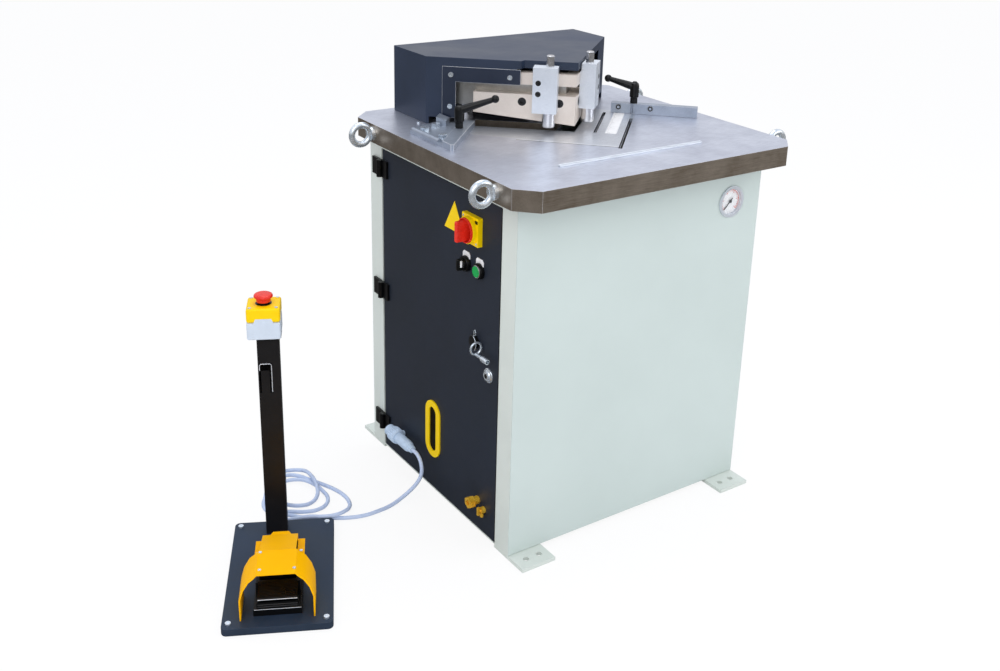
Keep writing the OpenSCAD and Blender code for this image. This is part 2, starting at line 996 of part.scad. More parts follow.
module motor_case() {
    z0 = tank_top + lid_thick;
    z1 = z0 + motor_high;
    inner = motor_dia - 2 * motor_wall;
    color("steelblue")
        translate([motor_at[0], motor_at[1], 0])
            difference() {
                union() {
                    along_z(motor_dia, z0, z1);
                    along_z(motor_dia + 50, z0, z0 + 12);
                    box([-60, 60], [motor_dia / 2 - 20, motor_dia / 2 + 34], [z0 + 90, z0 + 170]);
                    for (a = [20 : 40 : 340])
                        rotate([0, 0, a])
                            box([motor_dia / 2 - 3, motor_dia / 2 + 8], [-2, 2],
                                [z0 + 30, z1 - 20]);
                }
                along_z(inner, z0 + 14, z1 - 14);
                along_z(shaft_dia + 2 * fit, z0 - eps, z1 - 8);
            }
}

module motor_shaft() {
    z0 = tank_top + lid_thick;
    z1 = z0 + motor_high;
    color("silver")
        translate([motor_at[0], motor_at[1], 0]) {
            along_z(shaft_dia, z0 - 90, z1 - 9);
            along_z(rotor_dia, z0 + 30, z1 - 30);
        }
}

module oil_circuit() {
    z0 = tank_top + lid_thick;
    outer = bore_dia / 2 + barrel_wall;
    px = valve_at[0];
    py = rod_y_pos;
    rises = [barrel_top - barrel_length + 12, barrel_top - 16];
    color("gray") {
        translate([motor_at[0], motor_at[1], 0])
            difference() {
                union() {
                    along_z(80, tank_top - 100, tank_top - 20);
                    along_z(100, tank_top - 20, tank_top);
                }
                along_z(shaft_dia + 2 * fit, tank_top - 90, tank_top + eps);
            }
        box([px - 40, px + 40], [py - 30, py + 70], [z0, z0 + 70]);
        for (k = [0, 1])
            translate([px - 15 + 30 * k, py, 0]) {
                along_z(pipe_dia, z0 + 69, rises[k]);
                translate([0, 0, rises[k]])
                    sphere(d = pipe_dia);
                translate([0, 0, rises[k]])
                    along_x(pipe_dia, 0, -outer - px + 15 - 30 * k);
            }
    }
}

module scrap_bin() {
    color("gray")
        difference() {
            box([-bin_x, bin_x], bin_y, [tray_top, tray_top + bin_high]);
            box([-bin_x + 2, bin_x - 2], [bin_y[0] + 2, bin_y[1] - 2],
                [tray_top + 2, tray_top + bin_high + eps]);
        }
}

// Door -----------------------------------------------------------------------------------------

module oblong(y, z, w, h, x0, x1) {
    at_door([y, z]) {
        for (s = [-1, 1])
            translate([0, 0, s * (h - w) / 2])
                along_x(w, x0, x1);
        box([x0, x1], [-w / 2, w / 2], [-(h - w) / 2, (h - w) / 2]);
    }
}

module door() {
    x = [-hw, -hw + door_thick];
    color("dimgray")
        difference() {
            box(x, [door_front, door_back], [door_bottom, door_top]);
            box([x[0] + sheet, x[1] + eps], [door_front + sheet, door_back - sheet],
                [door_bottom + sheet, door_top - sheet]);
            for (p = [switch_at, selector_at, push_at])
                at_door(p)
                    along_x(shaft_small + 8, x[0] - eps, x[0] + sheet + eps);
            at_door(lock_at)
                along_x(lock_dia + 4, x[0] - eps, x[0] + sheet + eps);
            oblong(window_at[0], window_at[1], 32, 120, x[0] - eps, x[0] + sheet + eps);
        }
}

module frame_hinges() {
    leaf_y = axis_y + 8;
    color("black")
        for (z = hinge_z) {
            box([-hw - leaf_thick, -hw], [leaf_y, axis_y + 41],
                [z - hinge_high / 2, z + hinge_high / 2]);
            box([axis_x, -hw - gap], [axis_y, leaf_y + eps], [z - hinge_high / 2, z - gap]);
            translate([axis_x, axis_y, 0])
                along_z(knuckle, z - hinge_high / 2, z - gap);
            translate([axis_x, axis_y, 0])
                along_z(hinge_pin, z - gap - eps, z + hinge_high / 2 - 2);
        }
}

module door_hinges() {
    leaf_y = axis_y - 8;
    color("black")
        for (z = hinge_z)
            difference() {
                union() {
                    box([-hw - leaf_thick, -hw], [axis_y - 31, leaf_y],
                        [z - hinge_high / 2, z + hinge_high / 2]);
                    box([axis_x, -hw - gap], [leaf_y - eps, axis_y], [z, z + hinge_high / 2]);
                    translate([axis_x, axis_y, 0])
                        along_z(knuckle, z, z + hinge_high / 2);
                }
                translate([axis_x, axis_y, 0])
                    along_z(hinge_pin + 2 * fit, z - hinge_high, z + hinge_high / 2 - 1.5);
            }
}

module yellow_plates() {
    z = triangle_at[1];
    y = triangle_at[0];
    color("gold") {
        difference() {
            at_door(switch_at)
                box([-hw - 12, -hw], [-32.5, 32.5], [-32.5, 32.5]);
            at_door(switch_at)
                along_x(shaft_small + 2 * fit, -hw - 12 - eps, -hw + eps);
        }
        translate([-hw - 1, 0, 0])
            rotate([90, 0, 90])
                linear_extrude(height = 1)
                    polygon([[y - 42, z - 71], [y + 42, z - 71], [y, z]]);
        difference() {
            oblong(window_at[0], window_at[1], 66, 152, -hw - 4, -hw);
            oblong(window_at[0], window_at[1], 32, 120, -hw - 4 - eps, -hw + eps);
        }
    }
}

module switch_knob() {
    x = -hw - 12 - gap;
    color("red")
        at_door(switch_at) {
            along_x(52, x - 15, x);
            along_x(shaft_small, x - eps, -hw + 10);
            box([x - 37, x - 14], [-7, 7], [-24, 24]);
        }
}

module bezel(yz, bore) {
    x1 = -hw;
    x2 = x1 - legend_thick;
    difference() {
        at_door(yz) {
            box([x2, x1], [-16, 16], [-12, 29]);
            along_x(bezel_dia, x1 - 10, x1);
        }
        at_door(yz)
            along_x(bore, x1 - 10 - eps, x1 + eps);
    }
}

module button_bezels() {
    color("silver") {
        bezel(selector_at, shaft_small + 2 * fit);
        bezel(push_at, button_dia + 2 * fit);
    }
}

module selector_knob() {
    x = -hw - 10 - gap;
    color("black")
        at_door(selector_at) {
            along_x(28, x - 6, x);
            along_x(shaft_small, x - eps, -hw + 10);
            box([x - 20, x - 5], [-4, 4], [-13, 13]);
        }
}

module button_cap() {
    x = -hw - push_travel - gap;
    color("green")
        at_door(push_at) {
            along_x(button_dia, -hw - 15, x);
            along_x(shaft_small - 2, x - eps, -hw + 8);
        }
}

module door_bosses() {
    color("black") {
        at_door(boss_at) {
            along_x(33, -hw - 8, -hw);
            translate([0, wire_at[0] + wire_radius, wire_at[1]])
                along_x(wire_dia, -hw - wire_off, -hw - 7);
            translate([-hw - wire_off, wire_at[0], wire_at[1]])
                rotate([90, 0, 90])
                    rotate_extrude()
                        translate([wire_radius, 0])
                            circle(d = wire_dia);
        }
        difference() {
            at_door(lock_at)
                along_x(34, -hw - 6, -hw);
            at_door(lock_at)
                along_x(lock_dia + 2 * fit, -hw - 6 - eps, -hw + eps);
        }
    }
}

module lock_core() {
    color("silver")
        at_door(lock_at)
            difference() {
                union() {
                    along_x(lock_dia, -hw - 8, -hw + 12);
                    box([-hw + 8, -hw + 12], [-7, 7], [-33, 0]);
                }
                along_x(11, -hw - 8 - eps, -hw - 2);
            }
}

module cabinet_key() {
    color("silver")
        at_door(boss_at)
            translate([-hw - wire_off + key_drop[0], wire_at[0] + key_drop[1], key_drop[2]]) {
                rotate([90, 0, 0])
                    rotate_extrude()
                        translate([key_ring[0], 0])
                            circle(d = key_ring[1]);
                translate([0, 0, -key_ring[0]]) {
                    along_y(7, -26, 0);
                    difference() {
                        along_y(13, -47, -25);
                        along_y(9, -48, -30);
                    }
                }
            }
}

module cable_connector() {
    y = plug_at[1];
    color("slategray") {
        translate([plug_at[0], 0, plug_at[2]]) {
            along_y(20, y, y + 14);
            along_y(plug_dia, y + 14, y + 74);
            along_y(39, y + 72, y + 102);
            along_y(30, y + 102, y + 122);
        }
        translate([0, y + 111, plug_at[2]])
            along_x(26, plug_at[0], -hw);
    }
}

module brass_fittings() {
    color("goldenrod") {
        difference() {
            at_door(coupling_at) {
                along_x(20, -hw - 15, -hw);
                translate([-hw - coupling_long, 0, 0])
                    rotate([0, 90, 0])
                        hexagon(25, 14);
            }
            at_door(coupling_at)
                along_x(12, -hw - coupling_long - eps, -hw - 18);
        }
        difference() {
            at_door(cock_at) {
                along_x(16, -hw - 11, -hw);
                translate([-hw - 6, 0, 0])
                    along_z(9, -17, 0);
            }
            at_door(cock_at)
                along_x(6 + 2 * fit, -hw - 12, -hw - 4);
        }
    }
}

module cock_wing() {
    x = -hw - 11 - gap;
    color("goldenrod")
        at_door(cock_at) {
            along_x(6, x - 4, -hw - 5);
            box([x - 7, x - 2], [-3, 3], [-10, 10]);
        }
}

module gauge_case() {
    color("silver")
        translate([gauge_at[0], 0, gauge_at[1]])
            difference() {
                union() {
                    along_y(gauge_dia, -hd - gauge_deep, -hd);
                    along_y(gauge_dia - gauge_body, -hd - eps, -hd + 20);
                }
                along_y(gauge_dia - gauge_body - 4, -hd - gauge_deep - eps, -hd + gauge_bed);
                along_y(spindle_dia + 2 * fit, -hd, -hd + gauge_bed + 9);
            }
}

module gauge_pointer() {
    color("black")
        translate([gauge_at[0], 0, gauge_at[1]]) {
            along_y(spindle_dia, -hd + 1, -hd + gauge_bed + 8);
            along_y(8, -hd, -hd + 2);
            rotate([0, -135, 0])
                box([-1, 1], [-hd + 1, -hd + 2], [-10, 26]);
        }
}

module gauge_glass() {
    color("white")
        translate([gauge_at[0], 0, gauge_at[1]])
            along_y(gauge_dia - gauge_body - 4, -hd - 3, -hd - 1.5);
}

// Foot switch stand ----------------------------------------------------------------------------

module stand_base() {
    color("darkslategray")
        on_stand()
            rounded(stand_width, stand_length, stand_thick, 12);
}

module stand_post() {
    u = post_u;
    v = post_v;
    w = post_wall;
    color("black")
        on_stand() {
            difference() {
                box(u, v, [stand_thick, post_top]);
                box([u[0] + w, u[1] - w], [v[0] + w, v[1] - w],
                    [stand_thick + w, post_top + eps]);
                difference() {
                    box([-37, -10], [v[0] - eps, v[0] + w + eps], [380, 452]);
                    box([-34, -15], [v[0] - 2, v[0] + w + 2], [379, 435]);
                }
            }
            box([u[0] - 5.5, u[1] + 5.5], [v[0] - 4, v[1] + 4], [post_top, post_top + post_cap]);
            translate([post_u[0] / 2 + post_u[1] / 2, 0, gland_z])
                along_y(20, v[1], v[1] + gland_long);
        }
}

module stop_base() {
    z = post_top + post_cap;
    color("lightgray")
        on_stand()
            translate([stop_at[0], stop_at[1], 0])
                difference() {
                    translate([0, 0, z])
                        rounded(stop_box, stop_box, stop_split, 6);
                    translate([0, 0, z + 4])
                        rounded(stop_box - 8, stop_box - 8, stop_split, 4);
                }
}

module stop_lid() {
    z = post_top + post_cap + stop_split;
    z1 = z + stop_lid_high;
    color("gold")
        on_stand()
            translate([stop_at[0], stop_at[1], 0])
                difference() {
                    union() {
                        translate([0, 0, z])
                            rounded(stop_box, stop_box, stop_lid_high, 6);
                        along_z(stop_collar, z1, z1 + collar_high);
                    }
                    translate([0, 0, z - eps])
                        rounded(stop_box - 8, stop_box - 8, stop_lid_high - 5, 4);
                    along_z(stop_stem + 2 * fit, z, z1 + collar_high + eps);
                }
}

// The mushroom: its skirt goes down over the collar of the lid
module stop_button() {
    lid = post_top + post_cap + stop_split + stop_lid_high;
    z1 = lid + stop_travel + 2 * gap;
    roof = lid + collar_high + stop_travel + gap;
    color("red")
        on_stand()
            translate([stop_at[0], stop_at[1], 0]) {
                along_z(stop_stem, z1 - 24, roof + 1);
                difference() {
                    along_z(stop_skirt, z1, z1 + 10);
                    along_z(stop_collar + 4 * gap, z1 - eps, roof);
                }
                along_z(stop_cap, z1 + 9, z1 + 14);
                translate([0, 0, z1 + 14])
                    cylinder(d1 = stop_cap, d2 = stop_cap - 8, h = 3.2);
            }
}

module pedal_housing() {
    z = stand_thick;
    v = pedal_axis[0];
    h = pedal_axis[1];
    color("black")
        on_stand() {
            box([-50, 50], [-153, 20], [z, 33]);
            box([-43, 43], [-150, 20], [32, 47]);
            box([-38, 38], [v + 9, 20], [46, 77]);
            for (s = [0, 1])
                mirror([s, 0, 0])
                    box([pedal_half + gap, pedal_half + 5], [v - 8, v + 10], [32, h + 8]);
            translate([0, v, h])
                along_x(pedal_pin, -pedal_half - 3, pedal_half + 3);
        }
}

module pedal() {
    v = pedal_axis[0];
    h = pedal_axis[1];
    color("black")
        on_stand()
            difference() {
                union() {
                    translate([-pedal_half, 0, 0])
                        rotate([90, 0, 90])
                            linear_extrude(height = 2 * pedal_half)
                                polygon([[v, h + 7], [-148, 57], [-150, 52], [-146, 51],
                                    [v - 2, h - 4]]);
                    translate([0, v, h])
                        along_x(14, -pedal_half, pedal_half);
                }
                translate([0, v, h])
                    along_x(pedal_pin + 2 * fit, -pedal_half - eps, pedal_half + eps);
            }
}

module pedal_guard() {
    s = guard_sheet;
    g = guard_half;
    t = guard_top;
    z = stand_thick;
    v = guard_v;
    color("gold")
        on_stand() {
            translate([0, v[1], 0])
                rotate([90, 0, 0])
                    linear_extrude(height = v[1] - v[0])
                        polygon([[-g, z], [-g, 66], [-g + 7, 90], [-g + 19, 111], [-g + 31, t - 7],
                            [-40, t], [40, t], [g - 31, t - 7], [g - 19, 111], [g - 7, 90],
                            [g, 66], [g, z], [g - s, z], [g - s, 66], [g - 7 - s, 89],
                            [g - 20 - s / 2, 108], [g - 32, t - 10], [39, t - s],
                            [-39, t - s], [-g + 32, t - 10], [-g + 20 + s / 2, 108],
                            [-g + 7 + s, 89], [-g + s, 66], [-g + s, z]]);
            for (m = [0, 1])
                mirror([m, 0, 0])
                    box([38, 53], [-83, 20], [77, 80]);
            translate([-38, 0, 0])
                rotate([90, 0, 90])
                    linear_extrude(height = 76)
                        polygon([[v[1] - eps, t], [20, 94], [20, 80], [17, 80], [17, 92],
                            [v[1] - eps, t - s]]);
            box([-38, 38], [17, 21], [77, 90]);
            translate([0, 0, 80])
                linear_extrude(height = 4)
                    polygon([[-30, 20], [30, 20], [17, 46], [-17, 46]]);
        }
}

// Small screws that hold the cover plate, the floor plate, the guard and the stop box lid
module button_screw(d, h) {
    difference() {
        cylinder(d = d, h = h);
        translate([0, 0, h / 2])
            hexagon(d / 3, h);
    }
}

module body_screws() {
    lid = post_top + post_cap + stop_split + stop_lid_high;
    c = stop_box / 2 - 8;
    color("silver") {
        on_left()
            for (p = side_screws)
                translate([p[0], cover_left + side_plate_t, p[1]])
                    rotate([-90, 0, 0])
                        button_screw(12, 3);
        on_stand() {
            for (p = [[-100, -172], [100, -172], [-100, 171], [98, 171]])
                translate([p[0], p[1], stand_thick])
                    button_screw(12, 4);
            for (p = [[-33, -150], [37, -150], [-35, -90]])
                translate([p[0], p[1], guard_top])
                    button_screw(7, 2);
            for (u = [-46, 46])
                translate([u, -25, 80])
                    button_screw(7, 2);
            for (x = [-c, c])
                for (y = [-c, c])
                    translate([stop_at[0] + x, stop_at[1] + y, lid])
                        button_screw(7, 1.5);
        }
    }
}

module cable() {
    n = len(cable_points) - 1;
    start = plug_at - cable_points[0];
    path = [for (i = [0 : n])
        cable_points[i] + start * faded(i, 6) + [0, 0, cable_lift * (1 - faded(i, 6))
            * (1 - faded(n - i, 6))]];
    color("lightsteelblue")
        tube(path, cable_dia / 2, 10, [1, 0, 0]);
}

cabinet_frame();
body_panels();
table_top();
eyebolts();
head_cover();
cover_plate();
body_screws();
guide_columns();
ram();
clamp_bars();
upper_knives();
head_screws();
hold_down_blocks();
foot_left();
foot_right();
spring_left();
spring_right();
lower_blades();
die_block();
deck_plates();
rest_rod();
left_fence();
fence_base();
fence_bolts();
left_lever();
right_fence();
right_lever();
cylinder_barrel();
piston_rod();
oil_tank();
motor_case();
motor_shaft();
oil_circuit();
scrap_bin();
door();
frame_hinges();
door_hinges();
yellow_plates();
switch_knob();
button_bezels();
selector_knob();
button_cap();
door_bosses();
lock_core();
cabinet_key();
cable_connector();
brass_fittings();
cock_wing();
gauge_case();
gauge_pointer();
gauge_glass();
stand_base();
stand_post();
stop_base();
stop_lid();
stop_button();
pedal_housing();
pedal();
pedal_guard();
cable();
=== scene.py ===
import json
import logging
import math
from dataclasses import dataclass
from enum import Enum
from typing import Iterable, Optional, Sequence

import bmesh
import bpy
from mathutils import Matrix, Vector


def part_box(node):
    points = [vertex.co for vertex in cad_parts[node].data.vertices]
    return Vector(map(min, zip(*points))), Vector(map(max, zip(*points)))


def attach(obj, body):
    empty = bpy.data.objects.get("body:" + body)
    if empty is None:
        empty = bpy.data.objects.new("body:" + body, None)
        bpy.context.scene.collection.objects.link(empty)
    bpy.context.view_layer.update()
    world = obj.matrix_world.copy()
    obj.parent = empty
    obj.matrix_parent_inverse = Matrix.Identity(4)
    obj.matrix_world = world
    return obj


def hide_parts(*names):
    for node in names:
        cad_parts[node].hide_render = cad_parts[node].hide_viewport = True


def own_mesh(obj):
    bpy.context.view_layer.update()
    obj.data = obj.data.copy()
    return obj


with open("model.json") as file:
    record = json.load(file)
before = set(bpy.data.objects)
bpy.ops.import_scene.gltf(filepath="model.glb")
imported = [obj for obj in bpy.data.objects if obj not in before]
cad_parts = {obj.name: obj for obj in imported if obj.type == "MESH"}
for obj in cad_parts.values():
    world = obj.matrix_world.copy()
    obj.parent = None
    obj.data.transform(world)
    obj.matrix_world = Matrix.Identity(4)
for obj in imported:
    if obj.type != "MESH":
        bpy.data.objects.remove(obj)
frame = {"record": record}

log = logging.getLogger("notcher")
# A millimetre in metres, the distances that close a turned shape and merge a copied CAD mesh's
# loose corners, the angle up to which its triangles count as flat, the angle from which an edge
# shades sharp, and the upward share of a normal below which a face counts as upright
MM = 0.001
TOUCH = 1e-6
WELD = 1e-5
FLAT_DEG = 0.6
SHARP_DEG = 32.0
UPRIGHT = 0.5
Point = tuple[float, float, float]
Pair = tuple[float, float]
Mesh = bmesh.types.BMesh
Piece = bpy.types.Object
Tree = bpy.types.NodeTree
Socket = bpy.types.NodeSocket
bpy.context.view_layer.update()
BODY_OF = {n: body for body, nodes in frame["record"]["behaviour"]["bodies"].items() for n in nodes}


# Colours and shader nodes ------------------------------------------------------------------------


def linear(code: str) -> tuple[float, float, float, float]:
    """Turn an sRGB hex colour into linear RGBA.

    Args:
        code: a colour such as "#D2DFDE".

    Returns:
        Red, green, blue and alpha for a shader socket.
    """
    parts = [int(code[i : i + 2], 16) / 255 for i in (1, 3, 5)]
    red, green, blue = [p / 12.92 if p <= 0.04045 else ((p + 0.055) / 1.055) ** 2.4 for p in parts]
    return red, green, blue, 1.0


def add_node(tree: Tree, kind: str, settings: Optional[dict[str, object]] = None,
        links: Optional[dict[str, Socket]] = None) -> bpy.types.Node:
    """Add a shader node with its settings and the links into it.

    Args:
        tree: the material's node tree.
        kind: Blender's name for the node type.
        settings: attribute or input names with their values.
        links: input names with the sockets that feed them.

    Returns:
        The new node.
    """
    node = tree.nodes.new(kind)
    for key, value in (settings or {}).items():
        if key in node.inputs:
            node.inputs[key].default_value = value
        else:
            setattr(node, key, value)
    for key, socket in (links or {}).items():
        tree.links.new(socket, node.inputs[key])
    return node


def blank_material(name: str) -> tuple[bpy.types.Material, Tree]:
    """Make a material with an empty node tree.

    Args:
        name: the material's name.

    Returns:
        The material and its node tree.
    """
    material = bpy.data.materials.new(name)
    material.use_nodes = True
    material.node_tree.nodes.clear()
    return material, material.node_tree


def show(thing: Piece) -> Piece:
    """Put an object in the scene."""
    bpy.context.scene.collection.objects.link(thing)
    return thing


def per_metre(size_mm: float) -> float:
    """Give a texture's scale for a pattern of that real size."""
    return 1.0 / (size_mm * MM)


# Finishes ----------------------------------------------------------------------------------------


@dataclass(frozen=True)
class Finish:
    """A real material and how its surface was made.

    Attributes:
        name: the material's common name.
        colour: its main colour, sRGB hex.
        shade: the colour of its darker or worn patches, sRGB hex.
        roughness: typical roughness of the surface.
        metallic: 1 for bare metal.
        grain_mm: size of the fine grain that shows.
        relief_mm: depth of that grain.
        patch_mm: size of the broad patches of tone.
        coat: weight of a clear lacquer.
        gloss: specular level of a non-metal.
    """

    name: str
    colour: str
    shade: str
    roughness: float = 0.5
    metallic: float = 0.0
    grain_mm: float = 1.5
    relief_mm: float = 0.03
    patch_mm: float = 90.0
    coat: float = 0.0
    gloss: float = 0.5

    def surface(self, tree: Tree, place: Socket) -> tuple[Socket, Socket, Socket]:
        """Make the colour, the roughness and the height of the surface.

        Args:
            tree: the material's node tree.
            place: the object coordinates.

        Returns:
            Sockets for colour, roughness and height.
        """
        patches = add_node(tree, "ShaderNodeTexNoise",
            {"Scale": per_metre(self.patch_mm), "Detail": 4.0, "Roughness": 0.6}, {"Vector": place})
        grain = add_node(tree, "ShaderNodeTexNoise",
            {"Scale": per_metre(self.grain_mm), "Detail": 2.0}, {"Vector": place})
        tone = self.two_tone(tree, patches.outputs["Fac"], 0.35, 0.7)
        rough = self.range(tree, patches.outputs["Fac"], self.roughness - 0.06, self.roughness + 0.08)
        return tone, rough, grain.outputs["Fac"]

    def two_tone(self, tree: Tree, factor: Socket, low: float, high: float) -> Socket:
        """Blend the shade into the colour between two values of a factor.

        Args:
            tree: the material's node tree.
            factor: the socket of the pattern.
            low: value at which the shade starts to give way.
            high: value from which the colour is pure.

        Returns:
            The socket of the blended colour.
        """
        ramp = add_node(tree, "ShaderNodeValToRGB", {}, {"Fac": factor})
        ramp.color_ramp.elements[0].position = low
        ramp.color_ramp.elements[0].color = linear(self.shade)
        ramp.color_ramp.elements[1].position = high
        ramp.color_ramp.elements[1].color = linear(self.colour)
        return ramp.outputs["Color"]

    @staticmethod
    def range(tree: Tree, factor: Socket, low: float, high: float) -> Socket:
        """Map a noise factor onto a range of values."""
        settings = {"From Min": 0.3, "From Max": 0.7, "To Min": max(low, 0.02), "To Max": high}
        return add_node(tree, "ShaderNodeMapRange", settings, {"Value": factor}).outputs["Result"]

    def build(self) -> bpy.types.Material:
        """Make the material.

        Returns:
            The material, ready for a mesh.
        """
        material, tree = blank_material(self.name)
        place = add_node(tree, "ShaderNodeTexCoord").outputs["Object"]
        colour, rough, height = self.surface(tree, place)
        bump = add_node(tree, "ShaderNodeBump",
            {"Strength": 1.0, "Distance": self.relief_mm * MM}, {"Height": height})
        shader = add_node(tree, "ShaderNodeBsdfPrincipled",
            {"Metallic": self.metallic, "Coat Weight": self.coat, "Coat Roughness": 0.12,
                "Specular IOR Level": self.gloss},
            {"Base Color": colour, "Roughness": rough, "Normal": bump.outputs["Normal"]})
        add_node(tree, "ShaderNodeOutputMaterial", {}, {"Surface": shader.outputs["BSDF"]})
        return material


@dataclass(frozen=True)
class Brushed(Finish):
    """Metal ground or brushed in one direction, whose fine lines stretch its highlights.

    Attributes:
        along: the brushing direction as a turn about Z, in degrees.
        stretch: how many times longer than wide a line is.
        cloud: how much of the broad patches' tone shows, from 0 to 1.
    """

    along: float = 0.0
    stretch: float = 40.0
    cloud: float = 0.5

    def surface(self, tree: Tree, place: Socket) -> tuple[Socket, Socket, Socket]:
        """Make brushed lines over broad patches of tone.

        Args:
            tree: the material's node tree.
            place: the object coordinates.

        Returns:
            Sockets for colour, roughness and height.
        """
        turned = add_node(tree, "ShaderNodeMapping",
            {"Rotation": (0, 0, math.radians(self.along)), "Scale": (1 / self.stretch, 1, 1)},
            {"Vector": place})
        lines = add_node(tree, "ShaderNodeTexNoise",
            {"Scale": per_metre(self.grain_mm), "Detail": 3.0}, {"Vector": turned.outputs["Vector"]})
        patches = add_node(tree, "ShaderNodeTexNoise",
            {"Scale": per_metre(self.patch_mm), "Detail": 5.0, "Roughness": 0.65}, {"Vector": place})
        mix = add_node(tree, "ShaderNodeMix", {"data_type": "FLOAT", "Factor": self.cloud},
            {"A": lines.outputs["Fac"], "B": patches.outputs["Fac"]})
        tone = self.two_tone(tree, mix.outputs["Result"], 0.3, 0.66)
        rough = self.range(tree, mix.outputs["Result"], self.roughness + 0.09, self.roughness - 0.07)
        return tone, rough, lines.outputs["Fac"]


@dataclass(frozen=True)
class ClearGlass(Finish):
    """Flat gauge glass, seen by its gloss alone."""

    def build(self) -> bpy.types.Material:
        """Make a thin clear pane that lets the dial show.

        Returns:
            The material, ready for a mesh.
        """
        material, tree = blank_material(self.name)
        place = add_node(tree, "ShaderNodeTexCoord").outputs["Object"]
        smears = add_node(tree, "ShaderNodeTexNoise", {"Scale": per_metre(self.patch_mm)},
            {"Vector": place})
        rough = self.range(tree, smears.outputs["Fac"], 0.02, 0.08)
        shader = add_node(tree, "ShaderNodeBsdfPrincipled",
            {"Base Color": linear(self.colour), "Alpha": 0.05, "IOR": 1.35}, {"Roughness": rough})
        add_node(tree, "ShaderNodeOutputMaterial", {}, {"Surface": shader.outputs["BSDF"]})
        return material


class Finishes(Enum):
    """The finishes of the machine, one for each material slot of its record and for its trim.

    The values stand in the order of Finish's attributes. A grain that is too fine to show at the
    camera's distance is drawn as coarse as it needs to be.
    """

    # Powder coat over sheet steel: a fine orange peel and an even, pale green-grey
    FRAME_PAINT = Finish("Powder_coated_steel_pale", "#DAE1D9", "#D5DCD4", 0.42, 0, 2.2, 0.05, 260)
    # The same coat on thin sheet: a shade greener and flatter
    PANEL_PAINT = Finish("Powder_coated_sheet_pale", "#CBD7D2", "#C7D3CE", 0.42, 0, 2.2, 0.04, 320)
    # Hot-rolled plate, ground by hand: clouds of brown and blue over fine swirls, the blue tint being a
    # painted reflection of the sky
    GROUND_STEEL = Brushed("Ground_steel_plate_painted_sky_reflection", "#E4E9F4", "#B0B3BF", 0.36, 0.9, 1.4, 0.03, 120,
        along=20, stretch=18, cloud=0.62)
    # Cut edge of that plate, browner than its top, with level grinding lines
    RIM_STEEL = Brushed("Ground_steel_edge", "#CBC0B3", "#84786A", 0.38, 1, 1.2, 0.03, 70,
        along=0, stretch=25, cloud=0.6)
    # Painted highlight: a near-white colour on broken edges, where they catch the light as a white line
    BRIGHT_EDGE = Finish("Steel_edge_painted_highlight", "#F4F6FA", "#E2E5EA", 0.4, 0.5, 1.0, 0.01, 30)
    # Electroplated zinc: bright, slightly blue
    ZINC_STEEL = Finish("Zinc_plated_steel", "#F4FAFF", "#D0DBE4", 0.24, 0.8, 1.0, 0.02, 14)
    # Fine-texture powder coat in blue-grey, as on the knife guard
    HEAD_PAINT = Finish("Powder_coated_steel_blue_grey", "#27344B", "#233044", 0.4, 0, 1.6, 0.05, 150)
    # The same coat one shade darker, as on bolted covers
    HEAD_TRIM = Finish("Powder_coated_steel_charcoal", "#222D41", "#1E283B", 0.38, 0, 1.6, 0.04, 90)
    # Chrome over ground rod: a tight, even gloss
    HARD_CHROME = Finish("Hard_chrome", "#EDEDED", "#CFCFD1", 0.18, 0.9, 1.0, 0.005, 30)
    # Milled steel: warm grey with level tool lines
    MACHINED_STEEL = Brushed("Machined_steel", "#C4C2BD", "#8D8A84", 0.36, 1, 0.8, 0.02, 45,
        along=0, stretch=30, cloud=0.4)
    # Surface-ground steel: cool grey, lines along the deck; its darker tone is painted shade, as seen
    # against the light
    CLAMP_STEEL = Brushed("Ground_steel_painted_shade", "#AFB8C4", "#8891A0", 0.34, 0.6, 0.8, 0.02, 45,
        along=45, stretch=30, cloud=0.4)
    # Surface-ground plate: pale, with fine lines along the deck; its paleness is painted light, as where it
    # is lit
    DECK_STEEL = Brushed("Ground_steel_painted_light", "#E4E8EF", "#BEC1C6", 0.32, 0.75, 0.7, 0.015, 60,
        along=45, stretch=40, cloud=0.35)
    # Ground tool steel: warm white, with lines across the knife
    KNIFE_STEEL = Brushed("Ground_tool_steel", "#F6EBE0", "#DDD1C4", 0.42, 0.35, 0.7, 0.015, 60,
        along=-42, stretch=40, cloud=0.35)
    # Blackened steel with an oily sheen; the same black is also laid as painted shade in seams, a groove and
    # the deck plates' sides
    BLACK_OXIDE = Finish("Black_oxide_steel_and_painted_shade", "#101113", "#0A0B0C", 0.34, 0, 0.8, 0.02, 12)
    # Milled aluminium: pale and soft, with upright lines; the same pale finish also draws painted highlight
    # lines on the pedal's front edges
    ALLOY = Brushed("Milled_aluminium_and_painted_highlight", "#EEF3F9", "#CFD6DE", 0.4, 0.5, 0.8, 0.02, 50,
        along=90, stretch=30, cloud=0.35)
    # Oiled wire: dark, with a sharp highlight along each coil
    SPRING_STEEL = Finish("Oiled_spring_steel", "#5A5C60", "#3B3C3F", 0.35, 1, 0.8, 0.01, 12)
    # Polyamide with a satin moulded skin
    BLACK_PLASTIC = Finish("Moulded_black_polyamide", "#08090B", "#050607", 0.32, 0, 0.7, 0.03, 25,
        gloss=0.3)
    # Paint over a cast skin: dull and slightly pitted
    CAST_GREY = Finish("Painted_cast_iron", "#59616A", "#454C54", 0.55, 0.1, 2.0, 0.15, 40)
    # Brushed enamel on the tank and the motor: blue with a soft gloss
    BLUE_PAINT = Finish("Enamelled_steel_blue", "#3B5F86", "#31506F", 0.35, 0, 1.8, 0.04, 80)
    # Fine-texture powder coat: almost black, with a broad dull sheen
    DOOR_PAINT = Finish("Powder_coated_sheet_anthracite", "#252C39", "#212833", 0.46, 0, 1.8, 0.06, 220,
        gloss=0.35)
